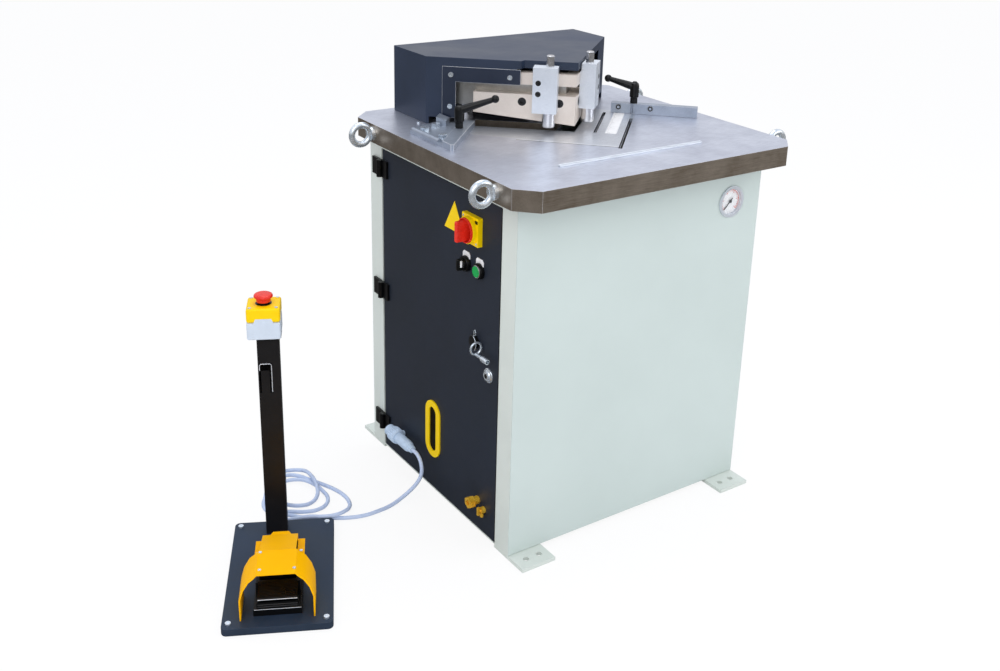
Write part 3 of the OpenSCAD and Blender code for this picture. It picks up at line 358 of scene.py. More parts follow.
    # Thick enamel on the pedal guard: a warm, even orange-yellow
    GUARD_PAINT = Finish("Enamelled_metal_orange_yellow", "#FFBC00", "#FBB600", 0.42, 0, 1.6, 0.03, 60,
        gloss=0.06)
    # Enamel on small plates: a purer yellow with more gloss
    YELLOW_PAINT = Finish("Enamelled_metal_yellow", "#FFD900", "#FCD300", 0.36, 0, 1.6, 0.03, 60, gloss=0.15)
    # Glossy moulding of a switch grip, and a darker, matt red in its bed as painted shade of the recess
    RED_PLASTIC = Finish("Moulded_red_plastic", "#EC3220", "#E02A1A", 0.26, 0, 0.8, 0.01, 18, gloss=0.45)
    RED_SHADE = Finish("Moulded_red_plastic_painted_shade", "#B0130F", "#A0100C", 0.55, 0, 0.8, 0.03, 18, gloss=0.2)
    # Button cap, smooth and slightly clear
    GREEN_PLASTIC = Finish("Moulded_green_plastic", "#14A850", "#109D49", 0.3, 0, 0.8, 0.01, 12, gloss=0.3)
    # Pale grey housing with a dull skin, and the cooler grey of a plug
    GREY_PLASTIC = Finish("Moulded_grey_plastic", "#D3DEEA", "#CCD7E3", 0.4, 0, 0.8, 0.02, 30)
    PLUG_PLASTIC = Finish("Moulded_plug_plastic_grey", "#CBDFF4", "#BBCFE4", 0.38, 0, 0.8, 0.02, 18)
    # Turned brass with a lacquer-like shine
    BRASS = Finish("Turned_brass", "#FFD046", "#F2B62A", 0.24, 0.45, 0.6, 0.01, 10)
    # A clear pane, seen by its reflections only
    GLASS = ClearGlass("Gauge_glass", "#F4F8F8", "#F4F8F8", 0.05)
    # Slate powder coat, scuffed dull by feet, and a black one on the tube
    BASE_PAINT = Finish("Powder_coated_plate_slate", "#2A394D", "#253344", 0.5, 0, 1.8, 0.08, 90, gloss=0.3)
    BLACK_PAINT = Finish("Powder_coated_tube_black", "#161517", "#111012", 0.42, 0, 1.6, 0.05, 80,
        gloss=0.35)
    # Moulded lid, smooth and bright
    YELLOW_PLASTIC = Finish("Moulded_yellow_plastic", "#FFD600", "#FCD000", 0.34, 0, 0.8, 0.02, 26,
        gloss=0.15)
    # Soft extruded sheath with a dull, cool gloss
    CABLE_SHEATH = Finish("Extruded_grey_sheath", "#CBDAF4", "#BECDE8", 0.42, 0, 1.2, 0.02, 40)
    # Printed and lacquered marks: flat colour with little gloss
    WHITE_PRINT = Finish("White_lacquer", "#F6F6F6", "#ECECEC", 0.45, 0, 0.8, 0.01, 20)
    RED_PRINT = Finish("Red_lacquer", "#E0563F", "#D24C36", 0.45, 0, 0.8, 0.01, 20)
    # The same black also closes the door's slot as painted shade
    BLACK_PRINT = Finish("Black_lacquer_and_painted_shade", "#050505", "#090909", 0.45, 0, 0.8, 0.01, 20, gloss=0.1)

    def material(self) -> bpy.types.Material:
        """Give this finish's material, made once."""
        return bpy.data.materials.get(self.value.name) or self.value.build()


# Mesh tools --------------------------------------------------------------------------------------


def box_mesh(low: Sequence[float], high: Sequence[float], edge: float = 0.0, rounds: int = 2) -> Mesh:
    """Make a block between two corners with its edges rounded.

    Args:
        low: lowest corner in metres.
        high: highest corner in metres.
        edge: radius of the edges in metres, or 0 for none.
        rounds: segments in a rounded edge.

    Returns:
        The block's bmesh.
    """
    mesh = bmesh.new()
    bmesh.ops.create_cube(mesh, size=1.0)
    size = [h - l for l, h in zip(low, high)]
    bmesh.ops.scale(mesh, vec=size, verts=mesh.verts)
    bmesh.ops.translate(mesh, vec=[(l + h) / 2 for l, h in zip(low, high)], verts=mesh.verts)
    if edge:
        round_edges(mesh, mesh.edges, edge, rounds)
    return mesh


def round_edges(mesh: Mesh, edges: Iterable[bmesh.types.BMEdge], radius: float,
        rounds: int = 2) -> list[bmesh.types.BMFace]:
    """Bevel edges to a radius in metres and give the new faces."""
    return bmesh.ops.bevel(mesh, geom=list(edges), offset=radius, offset_type="OFFSET",
        segments=rounds, profile=0.5, material=-1, affect="EDGES", clamp_overlap=True)["faces"]


def pairs_mm(*numbers: float) -> list[Pair]:
    """Pair numbers in millimetres as points in metres."""
    return [(a * MM, b * MM) for a, b in zip(numbers[::2], numbers[1::2])]


def turned(profile: Sequence[Pair], steps: int = 48) -> Mesh:
    """Turn a profile of (radius, height) round the Z axis.

    Args:
        profile: points in metres, from the bottom upwards along the outside.
        steps: facets round the axis.

    Returns:
        The closed turned shape.
    """
    mesh = bmesh.new()
    points = [mesh.verts.new((r, 0, h)) for r, h in profile]
    edges = [mesh.edges.new(pair) for pair in zip(points, points[1:])]
    bmesh.ops.spin(mesh, geom=points + edges, cent=(0, 0, 0), axis=(0, 0, 1), angle=math.tau,
        steps=steps, use_merge=True)
    bmesh.ops.remove_doubles(mesh, verts=mesh.verts, dist=TOUCH)
    bmesh.ops.holes_fill(mesh, edges=mesh.edges, sides=0)
    bmesh.ops.recalc_face_normals(mesh, faces=mesh.faces)
    return mesh


def outline_prism(outline: Sequence[Pair], low: float, high: float, edge: float = 0.0) -> Mesh:
    """Raise a flat outline along Z and round the edges of its top.

    Args:
        outline: corners in the XY plane, in metres.
        low: height of the bottom.
        high: height of the top.
        edge: radius of all edges, or 0 for none.

    Returns:
        The prism's bmesh.
    """
    mesh = bmesh.new()
    face = mesh.faces.new([mesh.verts.new((x, y, low)) for x, y in outline])
    raised = bmesh.ops.extrude_face_region(mesh, geom=[face])
    lifted = [v for v in raised["geom"] if isinstance(v, bmesh.types.BMVert)]
    bmesh.ops.translate(mesh, vec=(0, 0, high - low), verts=lifted)
    bmesh.ops.recalc_face_normals(mesh, faces=mesh.faces)
    if edge:
        round_edges(mesh, mesh.edges, edge)
    return mesh


def fluted(mesh: Mesh, count: int, depth: float, low: float, high: float) -> Mesh:
    """Press grip flutes into the skin of a turned shape between two heights.

    Args:
        mesh: the turned shape, still on the Z axis.
        count: flutes round it.
        depth: depth of a flute in metres.
        low: lower height in metres.
        high: upper height in metres.

    Returns:
        The same mesh.
    """
    for vert in mesh.verts:
        radius = math.hypot(vert.co.x, vert.co.y)
        if low <= vert.co.z <= high and radius > 4 * depth:
            wave = 0.5 - 0.5 * math.cos(count * math.atan2(vert.co.y, vert.co.x))
            share = 1 - depth * wave / radius
            vert.co.x *= share
            vert.co.y *= share
    return mesh


def wire_mesh(path: Sequence[Sequence[float]], radius: float, closed: bool = False,
        around: int = 12) -> Mesh:
    """Sweep a round wire along points.

    Args:
        path: points of the middle of the wire, in metres.
        radius: radius of the wire in metres.
        closed: whether the last point joins the first.
        around: facets round the wire.

    Returns:
        The wire's bmesh.
    """
    mesh = bmesh.new()
    points = [Vector(p) for p in path]
    count = len(points)
    rings = []
    side = Vector((0.3, 0.5, 0.81))
    for i, point in enumerate(points):
        after = points[(i + 1) % count] if closed else points[min(i + 1, count - 1)]
        before = points[i - 1] if closed or i else point
        ahead = (after - before).normalized()
        side = (side - ahead * side.dot(ahead)).normalized()
        across = ahead.cross(side)
        turns = [math.tau * k / around for k in range(around)]
        rings.append([mesh.verts.new(point + radius * (math.cos(t) * side + math.sin(t) * across))
            for t in turns])
    pairs = list(zip(rings, rings[1:]))
    if closed:
        shift = min(range(around), key=lambda k: (rings[0][k].co - rings[-1][0].co).length)
        pairs.append((rings[-1], rings[0][shift:] + rings[0][:shift]))
    else:
        mesh.faces.new(rings[0])
        mesh.faces.new(rings[-1])
    for one, two in pairs:
        for k in range(around):
            mesh.faces.new((one[k], one[(k + 1) % around], two[(k + 1) % around], two[k]))
    bmesh.ops.recalc_face_normals(mesh, faces=mesh.faces)
    return mesh


def circle_path(centre: Sequence[float], radius: float, one: Sequence[float], two: Sequence[float],
        start: float = 0.0, end: float = 360.0, steps: int = 48) -> list[Vector]:
    """Give points along an arc in the plane of two directions.

    Args:
        centre: middle of the arc in metres.
        radius: its radius in metres.
        one: direction of angle 0.
        two: direction of 90 degrees.
        start: first angle in degrees.
        end: last angle in degrees; a full turn leaves out its repeated point.
        steps: parts of the arc.

    Returns:
        The points in order.
    """
    angles = [math.radians(start + (end - start) * k / steps) for k in range(steps + 1)]
    if end - start >= 360:
        angles.pop()
    middle, first, second = Vector(centre), Vector(one), Vector(two)
    return [middle + radius * (math.cos(a) * first + math.sin(a) * second) for a in angles]


def socket_head(width: float, high: float) -> Mesh:
    """Make a screw head with a recess for a key, standing on the origin along +Z."""
    r = width / 2
    return turned([(0, 0), (r, 0), (r, high * 0.75), (r * 0.86, high), (r * 0.52, high),
        (r * 0.48, high * 0.35), (0, high * 0.3)], 24)


def moved(mesh: Mesh, place: Matrix) -> Mesh:
    """Put a mesh where a matrix says."""
    bmesh.ops.transform(mesh, matrix=place, verts=mesh.verts)
    return mesh


def joined(parts: Iterable[Mesh]) -> Mesh:
    """Gather several meshes in one.

    Args:
        parts: the meshes, which are freed.

    Returns:
        One mesh with them all.
    """
    whole = bmesh.new()
    for part in parts:
        data = bpy.data.meshes.new("part")
        part.to_mesh(data)
        whole.from_mesh(data)
        bpy.data.meshes.remove(data)
        part.free()
    return whole


def facing(direction: Sequence[float], at: Sequence[float]) -> Matrix:
    """Give the matrix that turns +Z to a direction and moves the origin to a point."""
    turn = Vector(direction).to_track_quat("Z", "Y").to_matrix().to_4x4()
    return Matrix.Translation(at) @ turn


def add_piece(name: str, mesh: Mesh, finish: Finishes, node: str, body: Optional[str] = None,
        stands: bool = False, others: Sequence[Finishes] = ()) -> Piece:
    """Make a finished piece that rides on a body of the machine.

    Args:
        name: the piece's name.
        mesh: its shape, already in place.
        finish: what it is made of.
        node: the CAD node whose body it takes.
        body: the CAD body it moves with, where that isn't the node's.
        stands: whether it stands for the node.
        others: finishes of the faces whose material index is 1 and up.

    Returns:
        The new object.
    """
    for face in mesh.faces:
        face.smooth = True
    for edge in mesh.edges:
        if len(edge.link_faces) != 2 or edge.calc_face_angle(0.0) > math.radians(SHARP_DEG):
            edge.smooth = False
    data = bpy.data.meshes.new(name)
    mesh.to_mesh(data)
    mesh.free()
    data.materials.append(finish.material())
    for other in others:
        data.materials.append(other.material())
    piece = show(bpy.data.objects.new(name, data))
    weighted = piece.modifiers.new("even_faces", "WEIGHTED_NORMAL")
    weighted.keep_sharp = True
    body = body or BODY_OF[node]
    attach(piece, body)
    replaces = [node] if stands else []
    if replaces:
        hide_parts(*replaces)
    log.info("%s: %d faces, %s", name, len(data.polygons), finish.value.name)
    return piece


def cad_mesh(node: str) -> Mesh:
    """Copy a CAD node's mesh, with its loose triangles merged into flat faces.

    Args:
        node: the CAD node.

    Returns:
        The merged copy.
    """
    mesh = bmesh.new()
    mesh.from_mesh(bpy.data.objects[node].data)
    bmesh.ops.remove_doubles(mesh, verts=mesh.verts, dist=WELD)
    bmesh.ops.dissolve_limit(mesh, angle_limit=math.radians(FLAT_DEG), verts=mesh.verts,
        edges=mesh.edges, delimit={"NORMAL"})
    return mesh


def softened(node: str, finish: Finishes, radius_mm: float, rounds: int = 2, least: float = 35.0,
        edge: Optional[Finishes] = None, side: Optional[Finishes] = None) -> Piece:
    """Show a CAD node with its sharp edges broken, as made parts have them.

    Args:
        node: the CAD node.
        finish: what it is made of.
        radius_mm: radius of the broken edges.
        rounds: segments in an edge.
        least: smallest angle in degrees of an edge that is broken.
        edge: finish of the broken edges, where it differs.
        side: finish of the upright faces, where it differs.

    Returns:
        The piece that replaces the node.
    """
    mesh = cad_mesh(node)
    edges = [e for e in mesh.edges
        if len(e.link_faces) == 2 and e.calc_face_angle(0.0) > math.radians(least)]
    if side:
        for face in mesh.faces:
            face.material_index = int(abs(face.normal.z) < UPRIGHT)
    for face in round_edges(mesh, edges, radius_mm * MM, rounds):
        if edge:
            face.material_index = 2 if side else 1
    extra = [finish for finish in (side, edge) if finish]
    return add_piece("soft_" + node, mesh, finish, node, stands=True, others=extra)


def dress(finish: Finishes, *nodes: str) -> None:
    """Give CAD nodes their finish."""
    for node in nodes:
        data = bpy.data.objects[node].data
        data.materials.clear()
        data.materials.append(finish.material())
        log.info("%s: CAD solid, %s", node, finish.value.name)


# Studio ------------------------------------------------------------------------------------------


@dataclass
class Studio:
    """The camera, the lights and the floor.

    Attributes:
        eye: where the camera stands.
        yaw: how far it turns from +Y towards +X, in degrees.
        pitch: how far it looks down, in degrees.
        roll: how far it leans, in degrees.
        lens: focal length in mm.
        shift: how far the lens is shifted, as shares of its width.
        floor_size: side of the floor.
        sensor: width of the sensor in mm.
        ambient: strength of the room's light.
        floor_glow: share of pure white in the floor.
    """

    eye: Point = (-1.602, -2.1002, 1.5711)
    yaw: float = 34.721
    pitch: float = 19.347
    roll: float = 1.593
    lens: float = 40.676
    shift: Pair = (-0.0099, -0.1105)
    floor_size: float = 60.0
    sensor: float = 36.0
    ambient: float = 0.95
    floor_glow: float = 0.86

    def camera(self) -> None:
        """Place the camera; yaw turns it from +Y towards +X and pitch looks down."""
        yaw, pitch, roll = (math.radians(a) for a in (self.yaw, self.pitch, self.roll))
        ahead = Vector((math.sin(yaw) * math.cos(pitch), math.cos(yaw) * math.cos(pitch),
            -math.sin(pitch)))
        side = Vector((math.cos(yaw), -math.sin(yaw), 0))
        above = side.cross(ahead)
        right = math.cos(roll) * side + math.sin(roll) * above
        up = -math.sin(roll) * side + math.cos(roll) * above
        data = bpy.data.cameras.new("camera")
        data.sensor_width = self.sensor
        data.lens = self.lens
        data.shift_x, data.shift_y = self.shift
        data.clip_end = 100.0
        lookout = bpy.data.objects.new("camera", data)
        turn = Matrix((right, up, -ahead)).transposed().to_4x4()
        lookout.matrix_world = Matrix.Translation(self.eye) @ turn
        bpy.context.scene.camera = show(lookout)
        bpy.context.scene.view_settings.view_transform = "Standard"

    def lights(self) -> None:
        """Hang three soft boxes round the machine and give the room a pale ambient."""
        boxes = [
            ("key", (-2.6, -2.6, 3.4), 2.6, 42.0),
            ("fill", (2.8, -3.2, 2.2), 2.4, 34.0),
            ("top", (0.2, 0.6, 3.8), 2.2, 30.0),
        ]
        for name, at, size, power in boxes:
            data = bpy.data.lights.new(name, "AREA")
            data.size = size
            data.energy = power
            lamp = bpy.data.objects.new(name, data)
            lamp.matrix_world = facing(Vector(at) - Vector((-0.1, 0, 0.6)), at)
            show(lamp)
        world = bpy.data.worlds.new("room")
        bpy.context.scene.world = world
        world.use_nodes = True
        tree = world.node_tree
        tree.nodes.clear()
        way = add_node(tree, "ShaderNodeTexCoord").outputs["Generated"]
        height = add_node(tree, "ShaderNodeSeparateXYZ", {}, {"Vector": way}).outputs["Z"]
        sky = add_node(tree, "ShaderNodeValToRGB", {}, {"Fac": height})
        sky.color_ramp.elements[0].color = linear("#C9C6C2")
        sky.color_ramp.elements[1].position = 0.5
        sky.color_ramp.elements[1].color = linear("#F2F5FF")
        ambient = add_node(tree, "ShaderNodeBackground", {"Strength": self.ambient},
            {"Color": sky.outputs["Color"]})
        white = add_node(tree, "ShaderNodeBackground", {"Color": (1, 1, 1, 1), "Strength": 1.0})
        mix = add_node(tree, "ShaderNodeMixShader", {}, {"Fac": self.seen(tree)})
        tree.links.new(ambient.outputs["Background"], mix.inputs[1])
        tree.links.new(white.outputs["Background"], mix.inputs[2])
        add_node(tree, "ShaderNodeOutputWorld", {}, {"Surface": mix.outputs["Shader"]})

    @staticmethod
    def seen(tree: Tree) -> Socket:
        """Tell where the camera or clear glass looks at the room.

        Args:
            tree: the node tree that asks.

        Returns:
            A socket that is 1 there and 0 elsewhere.
        """
        path = add_node(tree, "ShaderNodeLightPath")
        either = add_node(tree, "ShaderNodeMath", {"operation": "MAXIMUM"})
        tree.links.new(path.outputs["Is Camera Ray"], either.inputs[0])
        tree.links.new(path.outputs["Is Transmission Ray"], either.inputs[1])
        return either.outputs["Value"]

    def floor(self) -> None:
        """Lay a pale floor that keeps a faint shadow."""
        half = self.floor_size / 2
        mesh = box_mesh((-half, -half, -0.02), (half, half, -0.0002))
        material, tree = blank_material("Studio_floor")
        mirrored = add_node(tree, "ShaderNodeLightPath").outputs["Is Glossy Ray"]
        shade = add_node(tree, "ShaderNodeMix", {"data_type": "RGBA"})
        tree.links.new(mirrored, shade.inputs["Factor"])
        shade.inputs["A"].default_value = (1.0, 1.0, 1.0, 1.0)
        shade.inputs["B"].default_value = linear("#77746F")
        matt = add_node(tree, "ShaderNodeBsdfDiffuse")
        tree.links.new(shade.outputs["Result"], matt.inputs["Color"])
        white = add_node(tree, "ShaderNodeEmission", {"Color": (1, 1, 1, 1), "Strength": 1.0})
        share = add_node(tree, "ShaderNodeMath", {"operation": "MULTIPLY"})
        tree.links.new(self.seen(tree), share.inputs[0])
        share.inputs[1].default_value = self.floor_glow
        mix = add_node(tree, "ShaderNodeMixShader", {}, {"Fac": share.outputs["Value"]})
        tree.links.new(matt.outputs["BSDF"], mix.inputs[1])
        tree.links.new(white.outputs["Emission"], mix.inputs[2])
        add_node(tree, "ShaderNodeOutputMaterial", {}, {"Surface": mix.outputs["Shader"]})
        data = bpy.data.meshes.new("floor")
        mesh.to_mesh(data)
        mesh.free()
        data.materials.append(material)
        plane = show(bpy.data.objects.new("floor", data))

    def build(self) -> None:
        """Set up the whole studio."""
        self.camera()
        self.lights()
        self.floor()


# Sub-assemblies ----------------------------------------------------------------------------------


@dataclass
class Cabinet:
    """The welded cabinet with its painted panels and what they hide.

    Attributes:
        edge_mm: radius of its folded edges.
    """

    edge_mm: float = 1.2

    def build(self) -> None:
        """Break the folded edges and give the inner parts their finishes."""
        softened("cabinet_frame", Finishes.FRAME_PAINT, self.edge_mm)
        softened("body_panels", Finishes.PANEL_PAINT, 0.8)
        dress(Finishes.BLUE_PAINT, "oil_tank", "motor_case")
        dress(Finishes.MACHINED_STEEL, "motor_shaft")
        dress(Finishes.CAST_GREY, "oil_circuit", "cylinder_barrel")
        dress(Finishes.ZINC_STEEL, "scrap_bin")


@dataclass
class Table:
    """The ground table top with its deck plates, scale, rest strip and lifting eyes.

    Attributes:
        edge_mm: radius of the table's broken edges.
        tip: front corner of the deck plates.
        deck_long: how far a plate runs from that tip.
        scale_near: where the rule starts along the deck.
        scale_far: where it ends.
        scale_side: its two long sides across the deck.
        rule_gap: play of the rule in its pocket.
        line_half: half the width of a division line.
        divisions: division lines on the rule.
        pitch: distance between them.
        groove_half: half the groove in the rest strip.
    """

    edge_mm: float = 1.6
    tip: Pair = (-0.004, -0.215)
    deck_long: float = 0.235
    scale_near: float = 0.117
    scale_far: float = 0.34
    scale_side: Pair = (-0.044, -0.017)
    rule_gap: float = 0.0003
    line_half: float = 0.0003
    divisions: int = 21
    pitch: float = 0.01
    groove_half: float = 0.0009

    def deck(self, along: float, across: float) -> Pair:
        """Give the place of a point of the deck, whose axes lie at 45 degrees from its tip."""
        share = math.sqrt(0.5)
        return self.tip[0] + (along + across) * share, self.tip[1] + (along - across) * share

    def strip(self, along: Pair, across: Pair, low: float, high: float) -> Mesh:
        """Make a flat bar in the deck's own axes."""
        corners = [self.deck(along[0], across[0]), self.deck(along[0], across[1]),
            self.deck(along[1], across[1]), self.deck(along[1], across[0])]
        return outline_prism(corners, low, high)

    def scale(self) -> None:
        """Lay the white rule in its pocket and mark its divisions."""
        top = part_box("deck_plates")[1][2]
        gap = self.rule_gap
        rule = self.strip((self.scale_near + gap, self.scale_far - gap),
            (self.scale_side[0] + gap, self.scale_side[1] - gap), top - 0.001, top - 0.0001)
        round_edges(rule, rule.edges, 0.0002)
        add_piece("scale_rule", rule, Finishes.WHITE_PRINT, "deck_plates")
        marks = []
        inner = self.scale_side[0] + 0.001
        for i in range(self.divisions):
            x = self.scale_near + self.pitch + self.pitch * i
            reach = 0.009 if i % 5 == 0 else 0.005
            marks.append(self.strip((x - self.line_half, x + self.line_half), (inner, inner + reach),
                top - 0.0001, top))
        add_piece("scale_marks", joined(marks), Finishes.BLACK_PRINT, "deck_plates")

    def deck_edge(self) -> None:
        """Lay a pale strip on the ground edge of the left deck plate as a painted highlight, and a dark
        strip in front of it as a painted shadow along its seam.
        """
        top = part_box("deck_plates")[1][2]
        # Pale strip: painted highlight on the edge; dark strip: painted shadow below it
        bright = self.strip((0.0012, 0.0068), (-self.deck_long, -0.0012), top - 0.0004, top + 0.0002)
        add_piece("deck_edge_painted_highlight", bright, Finishes.BRIGHT_EDGE, "deck_plates")
        dark = self.strip((-0.0014, 0.0012), (-self.deck_long, 0.0012), top - 0.0004, top + 0.0001)
        add_piece("deck_edge_painted_shadow", dark, Finishes.BLACK_OXIDE, "deck_plates")

    def rest(self) -> None:
        """Make the rest strip: two bright rails with a groove between them, darkened with painted shade."""
        low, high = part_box("rest_rod")
        middle = (low[1] + high[1]) / 2
        half = self.groove_half
        rails = [box_mesh(low, (high[0], middle - half, high[2] - 0.0014), 0.0006),
            box_mesh((low[0], middle + half, low[2]), high, 0.001)]
        add_piece("rest_rails", joined(rails), Finishes.ALLOY, "rest_rod", stands=True)
        # A black box deep in the groove: painted shade
        groove = box_mesh((low[0] + 0.002, middle - 0.0011, low[2]),
            (high[0] - 0.002, middle + 0.0011, high[2] - 0.003), 0.0002)
        add_piece("rest_groove_painted_shade", groove, Finishes.BLACK_OXIDE, "rest_rod")

    def build(self) -> None:
        """Build the table's looks."""
        softened("table_top", Finishes.GROUND_STEEL, self.edge_mm,
            edge=Finishes.BRIGHT_EDGE, side=Finishes.RIM_STEEL)
        # The deck plates' upright faces are black: painted shade in their seams
        softened("deck_plates", Finishes.DECK_STEEL, 0.5,
            edge=Finishes.BRIGHT_EDGE, side=Finishes.BLACK_OXIDE)
        self.rest()
        self.deck_edge()
        dress(Finishes.ZINC_STEEL, "eyebolts")
        self.scale()


@dataclass
class CuttingHead:
    """The guard over the ram, the ram with its knives and blocks, and the spring-loaded feet.

    Attributes:
        edge_mm: radius of the guard's edges.
        foot_travel: how far a foot can lift; not used.
    """

    edge_mm: float = 1.5
    foot_travel: float = 0.026

    def spring(self, side: str) -> None:
        """Let a foot's spring hang from its block, riding on the head.

        Args:
            side: "left" or "right".
        """
        node = "spring_" + side
        coil = add_piece("coil_" + side, cad_mesh(node), Finishes.SPRING_STEEL, node,
            body="head", stands=True)
        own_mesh(coil)

    def build(self) -> None:
        """Build the head's looks."""
        softened("head_cover", Finishes.HEAD_PAINT, self.edge_mm)
        softened("cover_plate", Finishes.HEAD_TRIM, 0.5, edge=Finishes.BRIGHT_EDGE)
        dress(Finishes.ZINC_STEEL, "body_screws")
        dress(Finishes.HARD_CHROME, "guide_columns")
        dress(Finishes.MACHINED_STEEL, "ram")
        softened("clamp_bars", Finishes.KNIFE_STEEL, 0.8)
        softened("upper_knives", Finishes.KNIFE_STEEL, 0.4)
        dress(Finishes.BLACK_OXIDE, "head_screws")
        softened("hold_down_blocks", Finishes.ALLOY, 0.8, edge=Finishes.BRIGHT_EDGE)
        for side in ("left", "right"):
            dress(Finishes.HARD_CHROME, "foot_" + side)
            self.spring(side)
        dress(Finishes.DECK_STEEL, "lower_blades")
        dress(Finishes.MACHINED_STEEL, "die_block")
        dress(Finishes.HARD_CHROME, "piston_rod")


@dataclass
class Fences:
    """The two fences on the table and the levers that clamp them.

    Attributes:
        edge_mm: radius of the fences' edges.
        left_hub: middle of the left lever's lower face.
        right_hub: the same on the right.
        ball_radius: radius of a lever's ball.
        root_high: height of an arm's root above the hub's foot.
        ball_high: height from which a ball's rise counts.
        cap_high: height of the hub's cap.
        screw_high: height of the right fence's screws.
        right_at: end of the right fence that its screws are measured from.
        right_turn: its direction in degrees.
        screws: where its screws stand along it.
    """

    edge_mm: float = 0.8
    left_hub: Point = (-0.26137, 0.05088, 0.9164)
    right_hub: Point = (0.23602, 0.02029, 0.9264)
    ball_radius: float = 0.0093
    root_high: float = 0.041
    ball_high: float = 0.0416
    cap_high: float = 0.054
    screw_high: float = 0.916
    right_at: Pair = (0.3435, -0.0985)
    right_turn: float = 135.0
    screws: Pair = (0.117, 0.197)

    def lever(self, node: str, ball: Point, foot: Point) -> None:
        """Make a clamp lever with a ribbed foot, a domed hub and a thick tapered arm.

        Args:
            node: the CAD lever it stands for.
            ball: middle of the ball at the arm's end.
            foot: middle of the hub's lower face.
        """
        hub = turned(pairs_mm(5.5, 0, 8.5, 0, 9.2, 2, 8.8, 14, 11.2, 16.5, 11.5, 40, 11.3, 45, 9.5,
            50.5, 5.5, 53.5, 0, 54.5), 72)
        fluted(hub, 18, 0.0007, 0.001, 0.0145)
        moved(hub, Matrix.Translation(foot))
        root = Vector(foot) + Vector((0, 0, self.root_high))
        reach = Vector(ball) - root
        long = reach.length
        profile = [(0, 0), (0.0098, 0), (0.0094, 0.018), (0.007, long * 0.72), (0.0064, long - 0.008)]
        angles = [math.radians(a) for a in range(-50, 91, 14)]
        r = self.ball_radius
        profile += [(r * math.cos(a), long + r * math.sin(a)) for a in angles[:-1]]
        profile.append((0, long + r))
        arm = moved(turned(profile, 32), facing(reach, root))
        cap = moved(turned(pairs_mm(0, 0, 4.8, 0, 4.8, 0.8, 0, 1.2), 24),
            Matrix.Translation((foot[0], foot[1], foot[2] + self.cap_high)))
        add_piece("shaped_" + node, joined([hub, arm, cap]), Finishes.BLACK_PLASTIC, node, stands=True)

    def build(self) -> None:
        """Build the fences' looks."""
        for node in ("left_fence", "fence_base", "right_fence"):
            softened(node, Finishes.CLAMP_STEEL, self.edge_mm, edge=Finishes.BRIGHT_EDGE)
        dress(Finishes.ZINC_STEEL, "fence_bolts")
        self.lever("left_lever", self.ball(-31.0, 0.082, self.left_hub, 0.027), self.left_hub)
        self.lever("right_lever", self.ball(130.5, 0.068, self.right_hub, 0.016), self.right_hub)
        turn = Matrix.Rotation(math.radians(self.right_turn), 4, "Z")
        place = Matrix.Translation((*self.right_at, 0)) @ turn
        heads = [moved(socket_head(0.0134, 0.0035), place @ facing((0, 1, 0), (x, 0, self.screw_high)))
            for x in self.screws]
        add_piece("fence_screws", joined(heads), Finishes.BLACK_OXIDE, "head_screws",
            body="sliding_fence")

    def ball(self, turn: float, reach: float, foot: Point, rise: float) -> Point:
        """Find the middle of a lever's ball from the way it points.

        Args:
            turn: direction of the arm from +X, in degrees.
            reach: how far out the ball stands, in metres.
            foot: middle of the hub's lower face.
            rise: how far the ball stands above the arm's root.

        Returns:
            The ball's middle.
        """
        angle = math.radians(turn)
        x, y, z = foot
        return x + reach * math.cos(angle), y + reach * math.sin(angle), z + self.ball_high + rise


